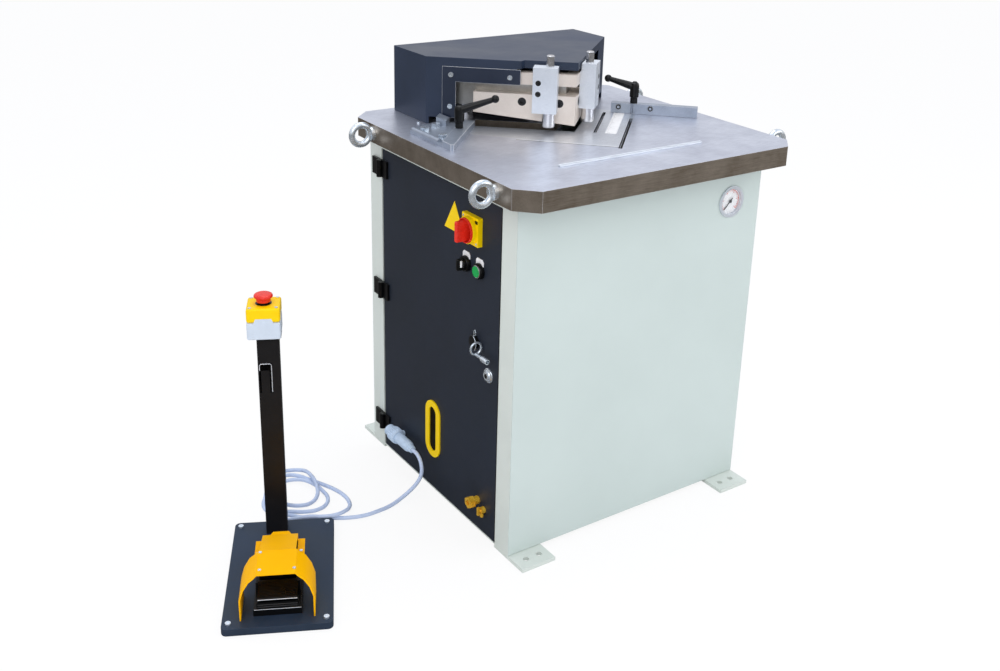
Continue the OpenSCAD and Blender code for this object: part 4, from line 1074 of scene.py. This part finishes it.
@dataclass
class Door:
    """The side door with its hinges, switches, lock, window rim, plug and oil fittings.

    Attributes:
        edge_mm: radius of the door's edges.
        face: where the door's face lies along X.
        switch_at: the main switch, along Y and up, as the next ones are.
        selector_at: the selector.
        button_at: the green button.
        boss_at: the boss of the key.
        lock_at: the lock.
        window_at: the middle of the window.
        window_half: half the width of the window.
        window_straight: half the length of its straight sides.
        key_end: where the key's shank starts.
        key_ring: middle of the key ring.
        plug_at: axis of the plug, along X and up.
        plug_stem: stem of the plug, from its rear end and up.
    """

    edge_mm: float = 1.0
    face: float = -0.35
    switch_at: Pair = (-0.159, 0.75)
    selector_at: Pair = (-0.13, 0.66)
    button_at: Pair = (-0.1845, 0.66)
    boss_at: Pair = (-0.17, 0.485)
    lock_at: Pair = (-0.227, 0.425)
    window_at: Pair = (0.011, 0.177)
    window_half: float = 0.016
    window_straight: float = 0.044
    key_end: Point = (-0.3672, -0.2, 0.47)
    key_ring: Point = (-0.3672, -0.2, 0.484)
    plug_at: Pair = (-0.376, 0.096)
    plug_stem: Pair = (0.092, 0.092)

    def on_door(self, at: Pair, out: float = 0.0) -> Matrix:
        """Give the place on the door's face: +Z points out, +X to the near edge, +Y up."""
        return Matrix.Translation((self.face - out, at[0], at[1])) @ Matrix((
            (0, 0, -1, 0), (-1, 0, 0, 0), (0, 1, 0, 0), (0, 0, 0, 1)))

    def main_switch(self) -> None:
        """Make the yellow collar and its screws, and the red dish with its grip."""
        place = self.on_door(self.switch_at)
        collar = turned(pairs_mm(28.4, 11.5, 30.5, 11.5, 30.5, 21.2, 29.8, 22.4, 28.8, 22.4, 28.4,
            21.6, 28.4, 11.5), 72)
        add_piece("switch_collar", moved(collar, place), Finishes.YELLOW_PAINT, "yellow_plates")
        dish = turned(pairs_mm(25, 12.4, 28.1, 12.4, 28.1, 26.2, 27.5, 27.2, 26.2, 27.2, 25.6, 26.2,
            25, 14, 25, 12.4), 72)
        # The bed's darker, matt red is painted shade in the dish
        bed = turned(pairs_mm(0, 12.4, 25.2, 12.4, 25.2, 16, 24, 14, 0, 13.2), 72)
        add_piece("switch_bed_painted_shade", moved(bed, place), Finishes.RED_SHADE, "switch_knob")
        grip = box_mesh((-0.0058, -0.0235, 0.0128), (0.0058, 0.024, 0.0492), 0.003, 4)
        for vert in grip.verts:
            if vert.co.z > 0.03:
                vert.co.x *= 0.86
        add_piece("switch_grip", moved(joined([dish, grip]), place), Finishes.RED_PLASTIC,
            "switch_knob", stands=True)
        slot = box_mesh((0.0195, 0.019, 0.011), (0.0312, 0.0266, 0.0125), 0.0006)
        add_piece("padlock_slot", moved(slot, place), Finishes.BLACK_PLASTIC, "yellow_plates")
        heads = [moved(socket_head(0.0052, 0.001), place @ Matrix.Translation((x, y, 0.0119)))
            for x, y in ((-0.0262, 0.0262), (0.0262, -0.0262), (-0.0262, -0.0262))]
        add_piece("switch_screws", joined(heads), Finishes.ZINC_STEEL, "yellow_plates")

    def push_row(self) -> None:
        """Make the pale legends, the black bezels, the selector's grip and the green button."""
        bezels, legends = [], []
        for at, bore in ((self.selector_at, 0.0062), (self.button_at, 0.0131)):
            place = self.on_door(at)
            ring = turned([(bore, 0), (0.0185, 0), (0.0185, 0.003), (0.0176, 0.0085), (0.0166, 0.01),
                (bore, 0.01), (bore, 0)], 64)
            bezels.append(moved(ring, place))
            outline = pairs_mm(-14.8, 13.4, 14.8, 13.4, 14.8, 23.5, 10, 28.5, -10, 28.5, -14.8, 23.5)
            legends.append(moved(outline_prism(outline, 0, 0.0015, 0.0003), place))
        add_piece("button_rings", joined(bezels), Finishes.BLACK_PLASTIC, "button_bezels", stands=True)
        add_piece("button_legends", joined(legends), Finishes.WHITE_PRINT, "button_bezels")
        place = self.on_door(self.button_at)
        trim = turned(pairs_mm(12.9, 9.5, 14.4, 9.5, 14.2, 11.2, 13.6, 11.6, 12.9, 11.2, 12.9, 9.5), 64)
        add_piece("button_trim", moved(trim, place), Finishes.HARD_CHROME, "button_bezels")
        cap = turned(pairs_mm(0, 4.4, 12.7, 4.4, 12.7, 12.2, 12.3, 12.7, 11.6, 12.8, 11, 12.5, 0, 12.4), 64)
        add_piece("push_cap", moved(cap, place), Finishes.GREEN_PLASTIC, "button_cap", stands=True)
        place = self.on_door(self.selector_at)
        rose = turned(pairs_mm(0, 10.4, 14, 10.4, 14, 14.5, 13.1, 16.4, 0, 17), 64)
        wedge = box_mesh((-0.0058, -0.013, 0.015), (0.0058, 0.0132, 0.0268), 0.0024, 3)
        for vert in wedge.verts:
            vert.co.x *= 1.0 - 0.45 * max(0, vert.co.z - 0.017) / 0.0098
        add_piece("selector_grip", moved(joined([rose, wedge]), place), Finishes.BLACK_PLASTIC,
            "selector_knob", stands=True)
        marker = box_mesh((0.004, -0.005, 0.0166), (0.0082, 0.0104, 0.0206), 0.001)
        add_piece("selector_mark", moved(marker, place), Finishes.WHITE_PRINT, "selector_knob")

    def key_holder(self) -> None:
        """Make the black boss, the wire loop on it and the lock's flanged ring."""
        place = self.on_door(self.boss_at)
        boss = turned(pairs_mm(0, 0, 16.5, 0, 16.5, 6.2, 15, 7.8, 0, 8.6), 56)
        add_piece("key_boss", moved(boss, place), Finishes.BLACK_PLASTIC, "door_bosses", stands=True)
        run = circle_path((0, 0, 0.0105), 0.019, (1, 0, 0), (0, 1, 0), -42, 66, 24)
        loop = [(0.0078, 0.0178, 0.0105), (0.0116, 0.0268, 0.0108), (0.0112, 0.0345, 0.011),
            (0.015, 0.0368, 0.011), (0.0186, 0.0318, 0.011), (0.0172, 0.0245, 0.0108),
            (0.0118, 0.0215, 0.0106)]
        wires = [wire_mesh(run, 0.001), wire_mesh(loop, 0.001)]
        add_piece("key_wire", moved(joined(wires), place), Finishes.ZINC_STEEL, "cabinet_key")
        ring = wire_mesh(circle_path(self.key_ring, 0.0138, (1, 0, 0), (0, 0, 1)),
            0.0026, closed=True)
        shank = turned(pairs_mm(0, 0, 3.6, 0, 3.6, 24.5, 6.2, 26.2, 6.5, 27.5, 6.5, 46.2, 6, 47,
            4.6, 47, 4.4, 32, 0, 31), 40)
        moved(shank, facing((0, -1, 0), self.key_end))
        add_piece("key_and_ring", joined([ring, shank]), Finishes.ZINC_STEEL, "cabinet_key",
            stands=True)
        flange = turned(pairs_mm(10.05, 0, 17.2, 0, 17.2, 1.6, 16.4, 2.8, 15, 3.4, 12.8, 4.2, 11.6,
            6, 10.05, 6.2, 10.05, 0), 64)
        add_piece("lock_ring", moved(flange, self.on_door(self.lock_at)), Finishes.ZINC_STEEL,
            "lock_core", body="door_leaf")

    def lock_face(self) -> None:
        """Sink a dark keyway into the face of the lock's core."""
        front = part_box("lock_core")[0][0]
        place = self.on_door(self.lock_at, self.face - front)
        disc = turned(pairs_mm(0, -1, 6.2, -1, 6.2, -0.1, 5.6, 0, 0, 0), 40)
        key = box_mesh((-0.0016, -0.0085, -0.0012), (0.0016, 0.0085, -0.0001), 0.0003)
        add_piece("lock_keyway", moved(joined([disc, key]), place), Finishes.BLACK_OXIDE, "lock_core")

    def seal(self) -> None:
        """Lay a black strip on the frame beside the door's near edge, painted shade in the gap between door
        and frame.
        """
        low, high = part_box("door")
        # The black strip is painted shade in the gap
        strip = box_mesh((self.face - 0.0008, low[1] - 0.0028, low[2]),
            (self.face + 0.003, low[1] - 0.0003, high[2]), 0.0004)
        add_piece("door_gap_painted_shade", strip, Finishes.BLACK_PLASTIC, "frame_hinges")

    def slot_painted_shade(self) -> None:
        """Close the slot in the door with a black sheet, painted shade of the dark cabinet inside."""
        half, straight = self.window_half, self.window_straight
        outline = [(half * math.cos(math.radians(a)), straight + half * math.sin(math.radians(a)))
            for a in range(0, 181, 15)]
        outline += [(-x, -y) for x, y in outline]
        # A black sheet behind the slot: painted shade of the dark inside
        pane = outline_prism([(x * 0.99, y * 0.997) for x, y in outline], -0.0018, -0.0008, 0.0002)
        add_piece("slot_shade_sheet", moved(pane, self.on_door(self.window_at)), Finishes.BLACK_PRINT, "door")

    def plug(self) -> None:
        """Make the round connector with its ribbed nut, tapered body and cable seal."""
        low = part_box("cable_connector")[0]
        place = facing((0, 1, 0), (self.plug_at[0], low[1], self.plug_at[1]))
        body = turned(pairs_mm(4.9, 0, 7.8, 0, 9, 1.5, 9.5, 5, 9.8, 13.5, 11.8, 15, 12.8, 17.5,
            13.6, 20, 13.9, 28, 13.9, 70, 15, 72.5, 0, 72.5), 72)
        fluted(body, 12, 0.0007, 0.0045, 0.0137)
        nut = turned(pairs_mm(0, 71.5, 17, 71.5, 18.6, 73, 19.4, 76, 19.4, 78, 19.4, 90, 19.4, 98.5,
            18.8, 101, 17.2, 102.2, 0, 102.2), 120)
        fluted(nut, 24, 0.0014, 0.0755, 0.099)
        tail = turned(pairs_mm(0, 101.8, 14.9, 101.8, 14.9, 120.5, 14, 121.9, 0, 121.9), 56)
        stem = turned(pairs_mm(0, 0, 7.5, 0, 7.5, 3, 6, 3.5, 6, 24, 0, 24), 56)
        moved(stem, facing((-1, 0, 0), (self.face, low[1] + self.plug_stem[0], self.plug_stem[1])))
        shell = joined([body, nut, tail])
        add_piece("plug_shell", joined([moved(shell, place), stem]), Finishes.PLUG_PLASTIC,
            "cable_connector", stands=True)

    def build(self) -> None:
        """Build the door's looks."""
        softened("door", Finishes.DOOR_PAINT, self.edge_mm)
        for node in ("frame_hinges", "door_hinges"):
            softened(node, Finishes.BLACK_PLASTIC, 0.7)
        softened("yellow_plates", Finishes.YELLOW_PAINT, 0.5)
        dress(Finishes.ZINC_STEEL, "lock_core")
        softened("brass_fittings", Finishes.BRASS, 0.5)
        softened("cock_wing", Finishes.BRASS, 0.8)
        self.main_switch()
        self.push_row()
        self.key_holder()
        self.lock_face()
        self.seal()
        self.slot_painted_shade()
        self.plug()


@dataclass
class Gauge:
    """The oil pressure gauge in the front panel.

    Attributes:
        centre: middle of the dial, along X and up.
        bed: where the dial lies along Y.
        first_deg: direction of the scale's zero.
        sweep_deg: angle of the whole scale.
        divisions: parts of the scale.
        mark_reach: outer radius of the marks.
        band_reach: radius of the red band.
    """

    centre: Pair = (0.257, 0.76)
    bed: float = -0.319
    first_deg: int = 225
    sweep_deg: int = 270
    divisions: int = 25
    mark_reach: float = 0.0268
    band_reach: float = 0.028

    def build(self) -> None:
        """Build the gauge's looks: bezel, dial, scale and needle."""
        softened("gauge_case", Finishes.ALLOY, 0.8)
        dress(Finishes.BLACK_PRINT, "gauge_pointer")
        dress(Finishes.GLASS, "gauge_glass")
        place = Matrix.Translation((self.centre[0], self.bed, self.centre[1])) @ Matrix((
            (1, 0, 0, 0), (0, 0, -1, 0), (0, 1, 0, 0), (0, 0, 0, 1)))
        dial = turned(pairs_mm(2.4, 0, 30.8, 0, 30.8, 0.3, 30.2, 0.6, 2.4, 0.6, 2.4, 0), 72)
        add_piece("gauge_dial", moved(dial, place), Finishes.WHITE_PRINT, "gauge_case")
        marks = []
        for i in range(self.divisions + 1):
            angle = math.radians(self.first_deg - self.sweep_deg * i / self.divisions)
            long = 0.0065 if i % 5 == 0 else 0.0038
            wide = 0.0007 if i % 5 == 0 else 0.0004
            mark = box_mesh((self.mark_reach - long, -wide, 0.0004), (self.mark_reach, wide, 0.0008))
            marks.append(moved(mark, place @ Matrix.Rotation(angle, 4, "Z")))
        add_piece("gauge_marks", joined(marks), Finishes.RED_PRINT, "gauge_case")
        last_deg = self.first_deg - self.sweep_deg
        band = wire_mesh(circle_path((0, 0, 0.0003), self.band_reach, (1, 0, 0), (0, 1, 0), last_deg,
            self.first_deg, 60), 0.0009)
        add_piece("gauge_band", moved(band, place), Finishes.RED_PRINT, "gauge_case")


@dataclass
class FootStand:
    """The foot switch on its base plate with the post and the stop button.

    Attributes:
        edge_mm: radius of the edges of plate and guard.
        at: middle of the plate on the floor.
        turn: direction of the stand in degrees.
        box_at: the stop box in the stand's axes.
        lid_top: top of the lid.
        box_low: bottom of the box.
        seam: height of the seam between box and lid.
        box_half: half the width of the box.
        tread_at: front of the tread in the stand's axes.
        tread_rise: how much the tread rises over how far back.
        rib_count: ribs on the tread.
        rib_first: where the first rib lies.
        rib_pitch: distance between ribs.
    """

    edge_mm: float = 1.2
    at: Pair = (-0.806, -0.105)
    turn: float = -26.0
    box_at: Pair = (-0.022, 0.154)
    lid_top: float = 0.59
    box_low: float = 0.518
    seam: float = 0.558
    box_half: float = 0.036
    tread_at: Point = (0, -0.148, 0.057)
    tread_rise: Pair = (0.013, 0.041)
    rib_count: int = 11
    rib_first: float = 0.0035
    rib_pitch: float = 0.0036

    @property
    def frame(self) -> Matrix:
        """The stand's own axes: +X across the plate, +Y from the pedal to the post."""
        return Matrix.Translation((*self.at, 0)) @ Matrix.Rotation(math.radians(self.turn), 4, "Z")

    def stop_station(self) -> None:
        """Make the box with its raised seam, the yellow lid, and the red mushroom on its sleeve."""
        place = self.frame @ Matrix.Translation((*self.box_at, 0))
        half = self.box_half
        lower = box_mesh((-half, -half, self.box_low), (half, half, self.seam), 0.004, 3)
        tongues = []
        for side in range(4):
            outline = pairs_mm(-21, -4, 21, -4, 21, 0, 16.8, 9.5, -16.8, 9.5, -21, 0)
            plate = outline_prism(outline, 0, 0.0016, 0.0003)
            upright = facing((0, -1, 0), (0, -half + 0.0012, self.seam))
            tongues.append(moved(plate, Matrix.Rotation(side * math.pi / 2, 4, "Z") @ upright))
        grey = joined([lower, *tongues])
        add_piece("stop_box_lower", moved(grey, place), Finishes.GREY_PLASTIC, "stop_base", stands=True)
        lid = box_mesh((-half, -half, self.seam + 0.0004), (half, half, self.lid_top), 0.005, 4)
        add_piece("stop_box_lid", moved(lid, place), Finishes.YELLOW_PLASTIC, "stop_lid", stands=True)
        z = self.lid_top
        sleeve = turned([(0.0102, z - 0.001), (0.0178, z - 0.001), (0.0176, z + 0.0004),
            (0.0134, z + 0.0006), (0.0134, z + 0.0062), (0.0102, z + 0.0064),
            (0.0102, z - 0.001)], 64)
        add_piece("stop_sleeve", moved(sleeve, place), Finishes.BLACK_PLASTIC, "pedal", body="machine")
        cap = turned([(0, z + 0.0108), (0.0138, z + 0.0108), (0.0138, z + 0.005), (0.0155, z + 0.0048),
            (0.0157, z + 0.0118), (0.0175, z + 0.0138), (0.0198, z + 0.0146), (0.0205, z + 0.0158),
            (0.0204, z + 0.0182), (0.0192, z + 0.0202), (0.0165, z + 0.0216), (0.012, z + 0.022),
            (0, z + 0.022)], 72)
        add_piece("stop_mushroom_cap", moved(cap, place), Finishes.RED_PLASTIC, "stop_button",
            stands=True)

    def pedal_ribs(self) -> None:
        """Rib the tread, paint highlight lines along its front lip and the housing's rim, and fold the
        bellows under it.
        """
        ribs = []
        slope = math.atan2(*self.tread_rise)
        tread = self.frame @ Matrix.Translation(self.tread_at) @ Matrix.Rotation(slope, 4, "X")
        for i in range(self.rib_count):
            y = self.rib_first + self.rib_pitch * i
            ribs.append(moved(box_mesh((-0.039, y - 0.0009, -0.0004), (0.039, y + 0.0009, 0.0008),
                0.0004), tread))
        add_piece("pedal_ribs", joined(ribs), Finishes.BLACK_PLASTIC, "pedal")
        # A pale line along the pedal's front lip: painted highlight
        lip = wire_mesh([(-0.0405, -0.1495, 0.0535), (0.0405, -0.1495, 0.0535)], 0.0009)
        add_piece("pedal_lip_painted_highlight", moved(lip, self.frame), Finishes.ALLOY, "pedal")
        folds = [box_mesh((-0.0415, -0.1516, z), (0.0415, -0.149, z + 0.003), 0.0012, 3)
            for z in (0.0352, 0.0402)]
        # A pale line along the housing's rim: painted highlight
        rim = wire_mesh([(-0.048, -0.153, 0.0325), (0.048, -0.153, 0.0325)], 0.0006)
        add_piece("pedal_folds", moved(joined(folds), self.frame),
            Finishes.BLACK_OXIDE, "pedal_housing")
        add_piece("housing_rim_painted_highlight", moved(rim, self.frame), Finishes.ALLOY, "pedal_housing")

    def slot_edge_highlight(self) -> None:
        """Run a painted highlight round the edge of the slot in the post."""
        path = [(-0.0365, 0.1378, 0.436), (-0.0365, 0.1378, 0.448), (-0.0335, 0.1378, 0.4515),
            (-0.0135, 0.1378, 0.4515), (-0.0105, 0.1378, 0.448), (-0.0105, 0.1378, 0.383)]
        add_piece("slot_edge_highlight", moved(wire_mesh(path, 0.0009), self.frame),
            Finishes.BRIGHT_EDGE, "body_screws")

    def build(self) -> None:
        """Build the stand's looks."""
        softened("stand_base", Finishes.BASE_PAINT, self.edge_mm)
        softened("stand_post", Finishes.BLACK_PAINT, 0.8)
        softened("pedal_housing", Finishes.BLACK_PLASTIC, self.edge_mm)
        softened("pedal", Finishes.BLACK_PLASTIC, 0.8)
        softened("pedal_guard", Finishes.GUARD_PAINT, self.edge_mm)
        self.stop_station()
        self.pedal_ribs()
        self.slot_edge_highlight()


@dataclass
class Cable:
    """The free cable from the plug on the door to the foot switch.

    Attributes:
        points: middle of the cable, from the door on.
        diameter: its diameter.
        length: its real length; not used.
    """

    points: tuple[Point, ...]
    diameter: float = 0.0095
    length: float = 2.165

    def build(self) -> None:
        data = bpy.data.curves.new("cable_run", "CURVE")
        data.dimensions = "3D"
        data.bevel_depth = self.diameter / 2
        data.bevel_resolution = 4
        data.resolution_u = 4
        data.use_fill_caps = True
        spline = data.splines.new("BEZIER")
        spline.bezier_points.add(len(self.points) - 1)
        for knot, point in zip(spline.bezier_points, self.points):
            knot.co = point
            knot.handle_left_type = knot.handle_right_type = "AUTO"
        data.materials.append(Finishes.CABLE_SHEATH.material())
        run = show(bpy.data.objects.new("cable_run", data))
        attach(run, "machine")
        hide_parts("cable")
        log.info("cable_run: %d points, %s", len(self.points), Finishes.CABLE_SHEATH.value.name)


# Middle of the cable from the plug on the door, down to the floor, round its coil, to the foot switch
CABLE_POINTS: tuple[Point, ...] = (
    (-0.376, 0.068, 0.096), (-0.376, 0.05, 0.096), (-0.377, 0.032, 0.089), (-0.379, 0.019, 0.075),
    (-0.384, 0.013, 0.056), (-0.397, 0.012, 0.037), (-0.417, 0.012, 0.022), (-0.444, 0.01, 0.01),
    (-0.477, 0.003, 0.005), (-0.513, -0.001, 0.005), (-0.548, 0, 0.005), (-0.583, 0.011, 0.005),
    (-0.615, 0.029, 0.005), (-0.647, 0.05, 0.005), (-0.677, 0.071, 0.005), (-0.699, 0.096, 0.005),
    (-0.723, 0.113, 0.005), (-0.737, 0.139, 0.005), (-0.735, 0.168, 0.005), (-0.72, 0.194, 0.005),
    (-0.704, 0.221, 0.005), (-0.684, 0.244, 0.005), (-0.661, 0.262, 0.006), (-0.632, 0.262, 0.005),
    (-0.61, 0.245, 0.005), (-0.596, 0.219, 0.005), (-0.582, 0.192, 0.005), (-0.568, 0.163, 0.005),
    (-0.557, 0.134, 0.005), (-0.551, 0.103, 0.005), (-0.553, 0.073, 0.006), (-0.565, 0.045, 0.01),
    (-0.587, 0.026, 0.016), (-0.617, 0.021, 0.018), (-0.643, 0.034, 0.016), (-0.667, 0.051, 0.015),
    (-0.69, 0.067, 0.01), (-0.713, 0.08, 0.006), (-0.732, 0.095, 0.013), (-0.741, 0.118, 0.016),
    (-0.734, 0.144, 0.018), (-0.72, 0.167, 0.008), (-0.706, 0.193, 0.005), (-0.691, 0.218, 0.005),
    (-0.669, 0.235, 0.005), (-0.643, 0.237, 0.006), (-0.62, 0.223, 0.009), (-0.607, 0.199, 0.014),
    (-0.594, 0.172, 0.011), (-0.59, 0.143, 0.01), (-0.59, 0.114, 0.007), (-0.605, 0.091, 0.005),
    (-0.632, 0.081, 0.005), (-0.66, 0.088, 0.005), (-0.685, 0.104, 0.005), (-0.707, 0.121, 0.006),
    (-0.715, 0.145, 0.015), (-0.713, 0.173, 0.019), (-0.709, 0.203, 0.016), (-0.698, 0.233, 0.017),
    (-0.679, 0.258, 0.018), (-0.655, 0.276, 0.014), (-0.627, 0.278, 0.008), (-0.602, 0.265, 0.009),
    (-0.59, 0.238, 0.015), (-0.59, 0.208, 0.018), (-0.597, 0.179, 0.028), (-0.601, 0.15, 0.022),
    (-0.612, 0.128, 0.01), (-0.634, 0.116, 0.005), (-0.659, 0.117, 0.006), (-0.682, 0.125, 0.01),
    (-0.702, 0.123, 0.023), (-0.715, 0.11, 0.036), (-0.723, 0.1, 0.049), (-0.73, 0.088, 0.056),
    (-0.7353, 0.0764, 0.058), (-0.7397, 0.0674, 0.058),
)


def main() -> None:
    """Dress the machine."""
    Studio().build()
    Cable(CABLE_POINTS).build()
    for part in (Cabinet(), Table(), CuttingHead(), Fences(), Door(), Gauge(), FootStand()):
        part.build()


if __name__ == "__main__":
    logging.basicConfig(level=logging.INFO, format="%(name)s: %(message)s")
    main()
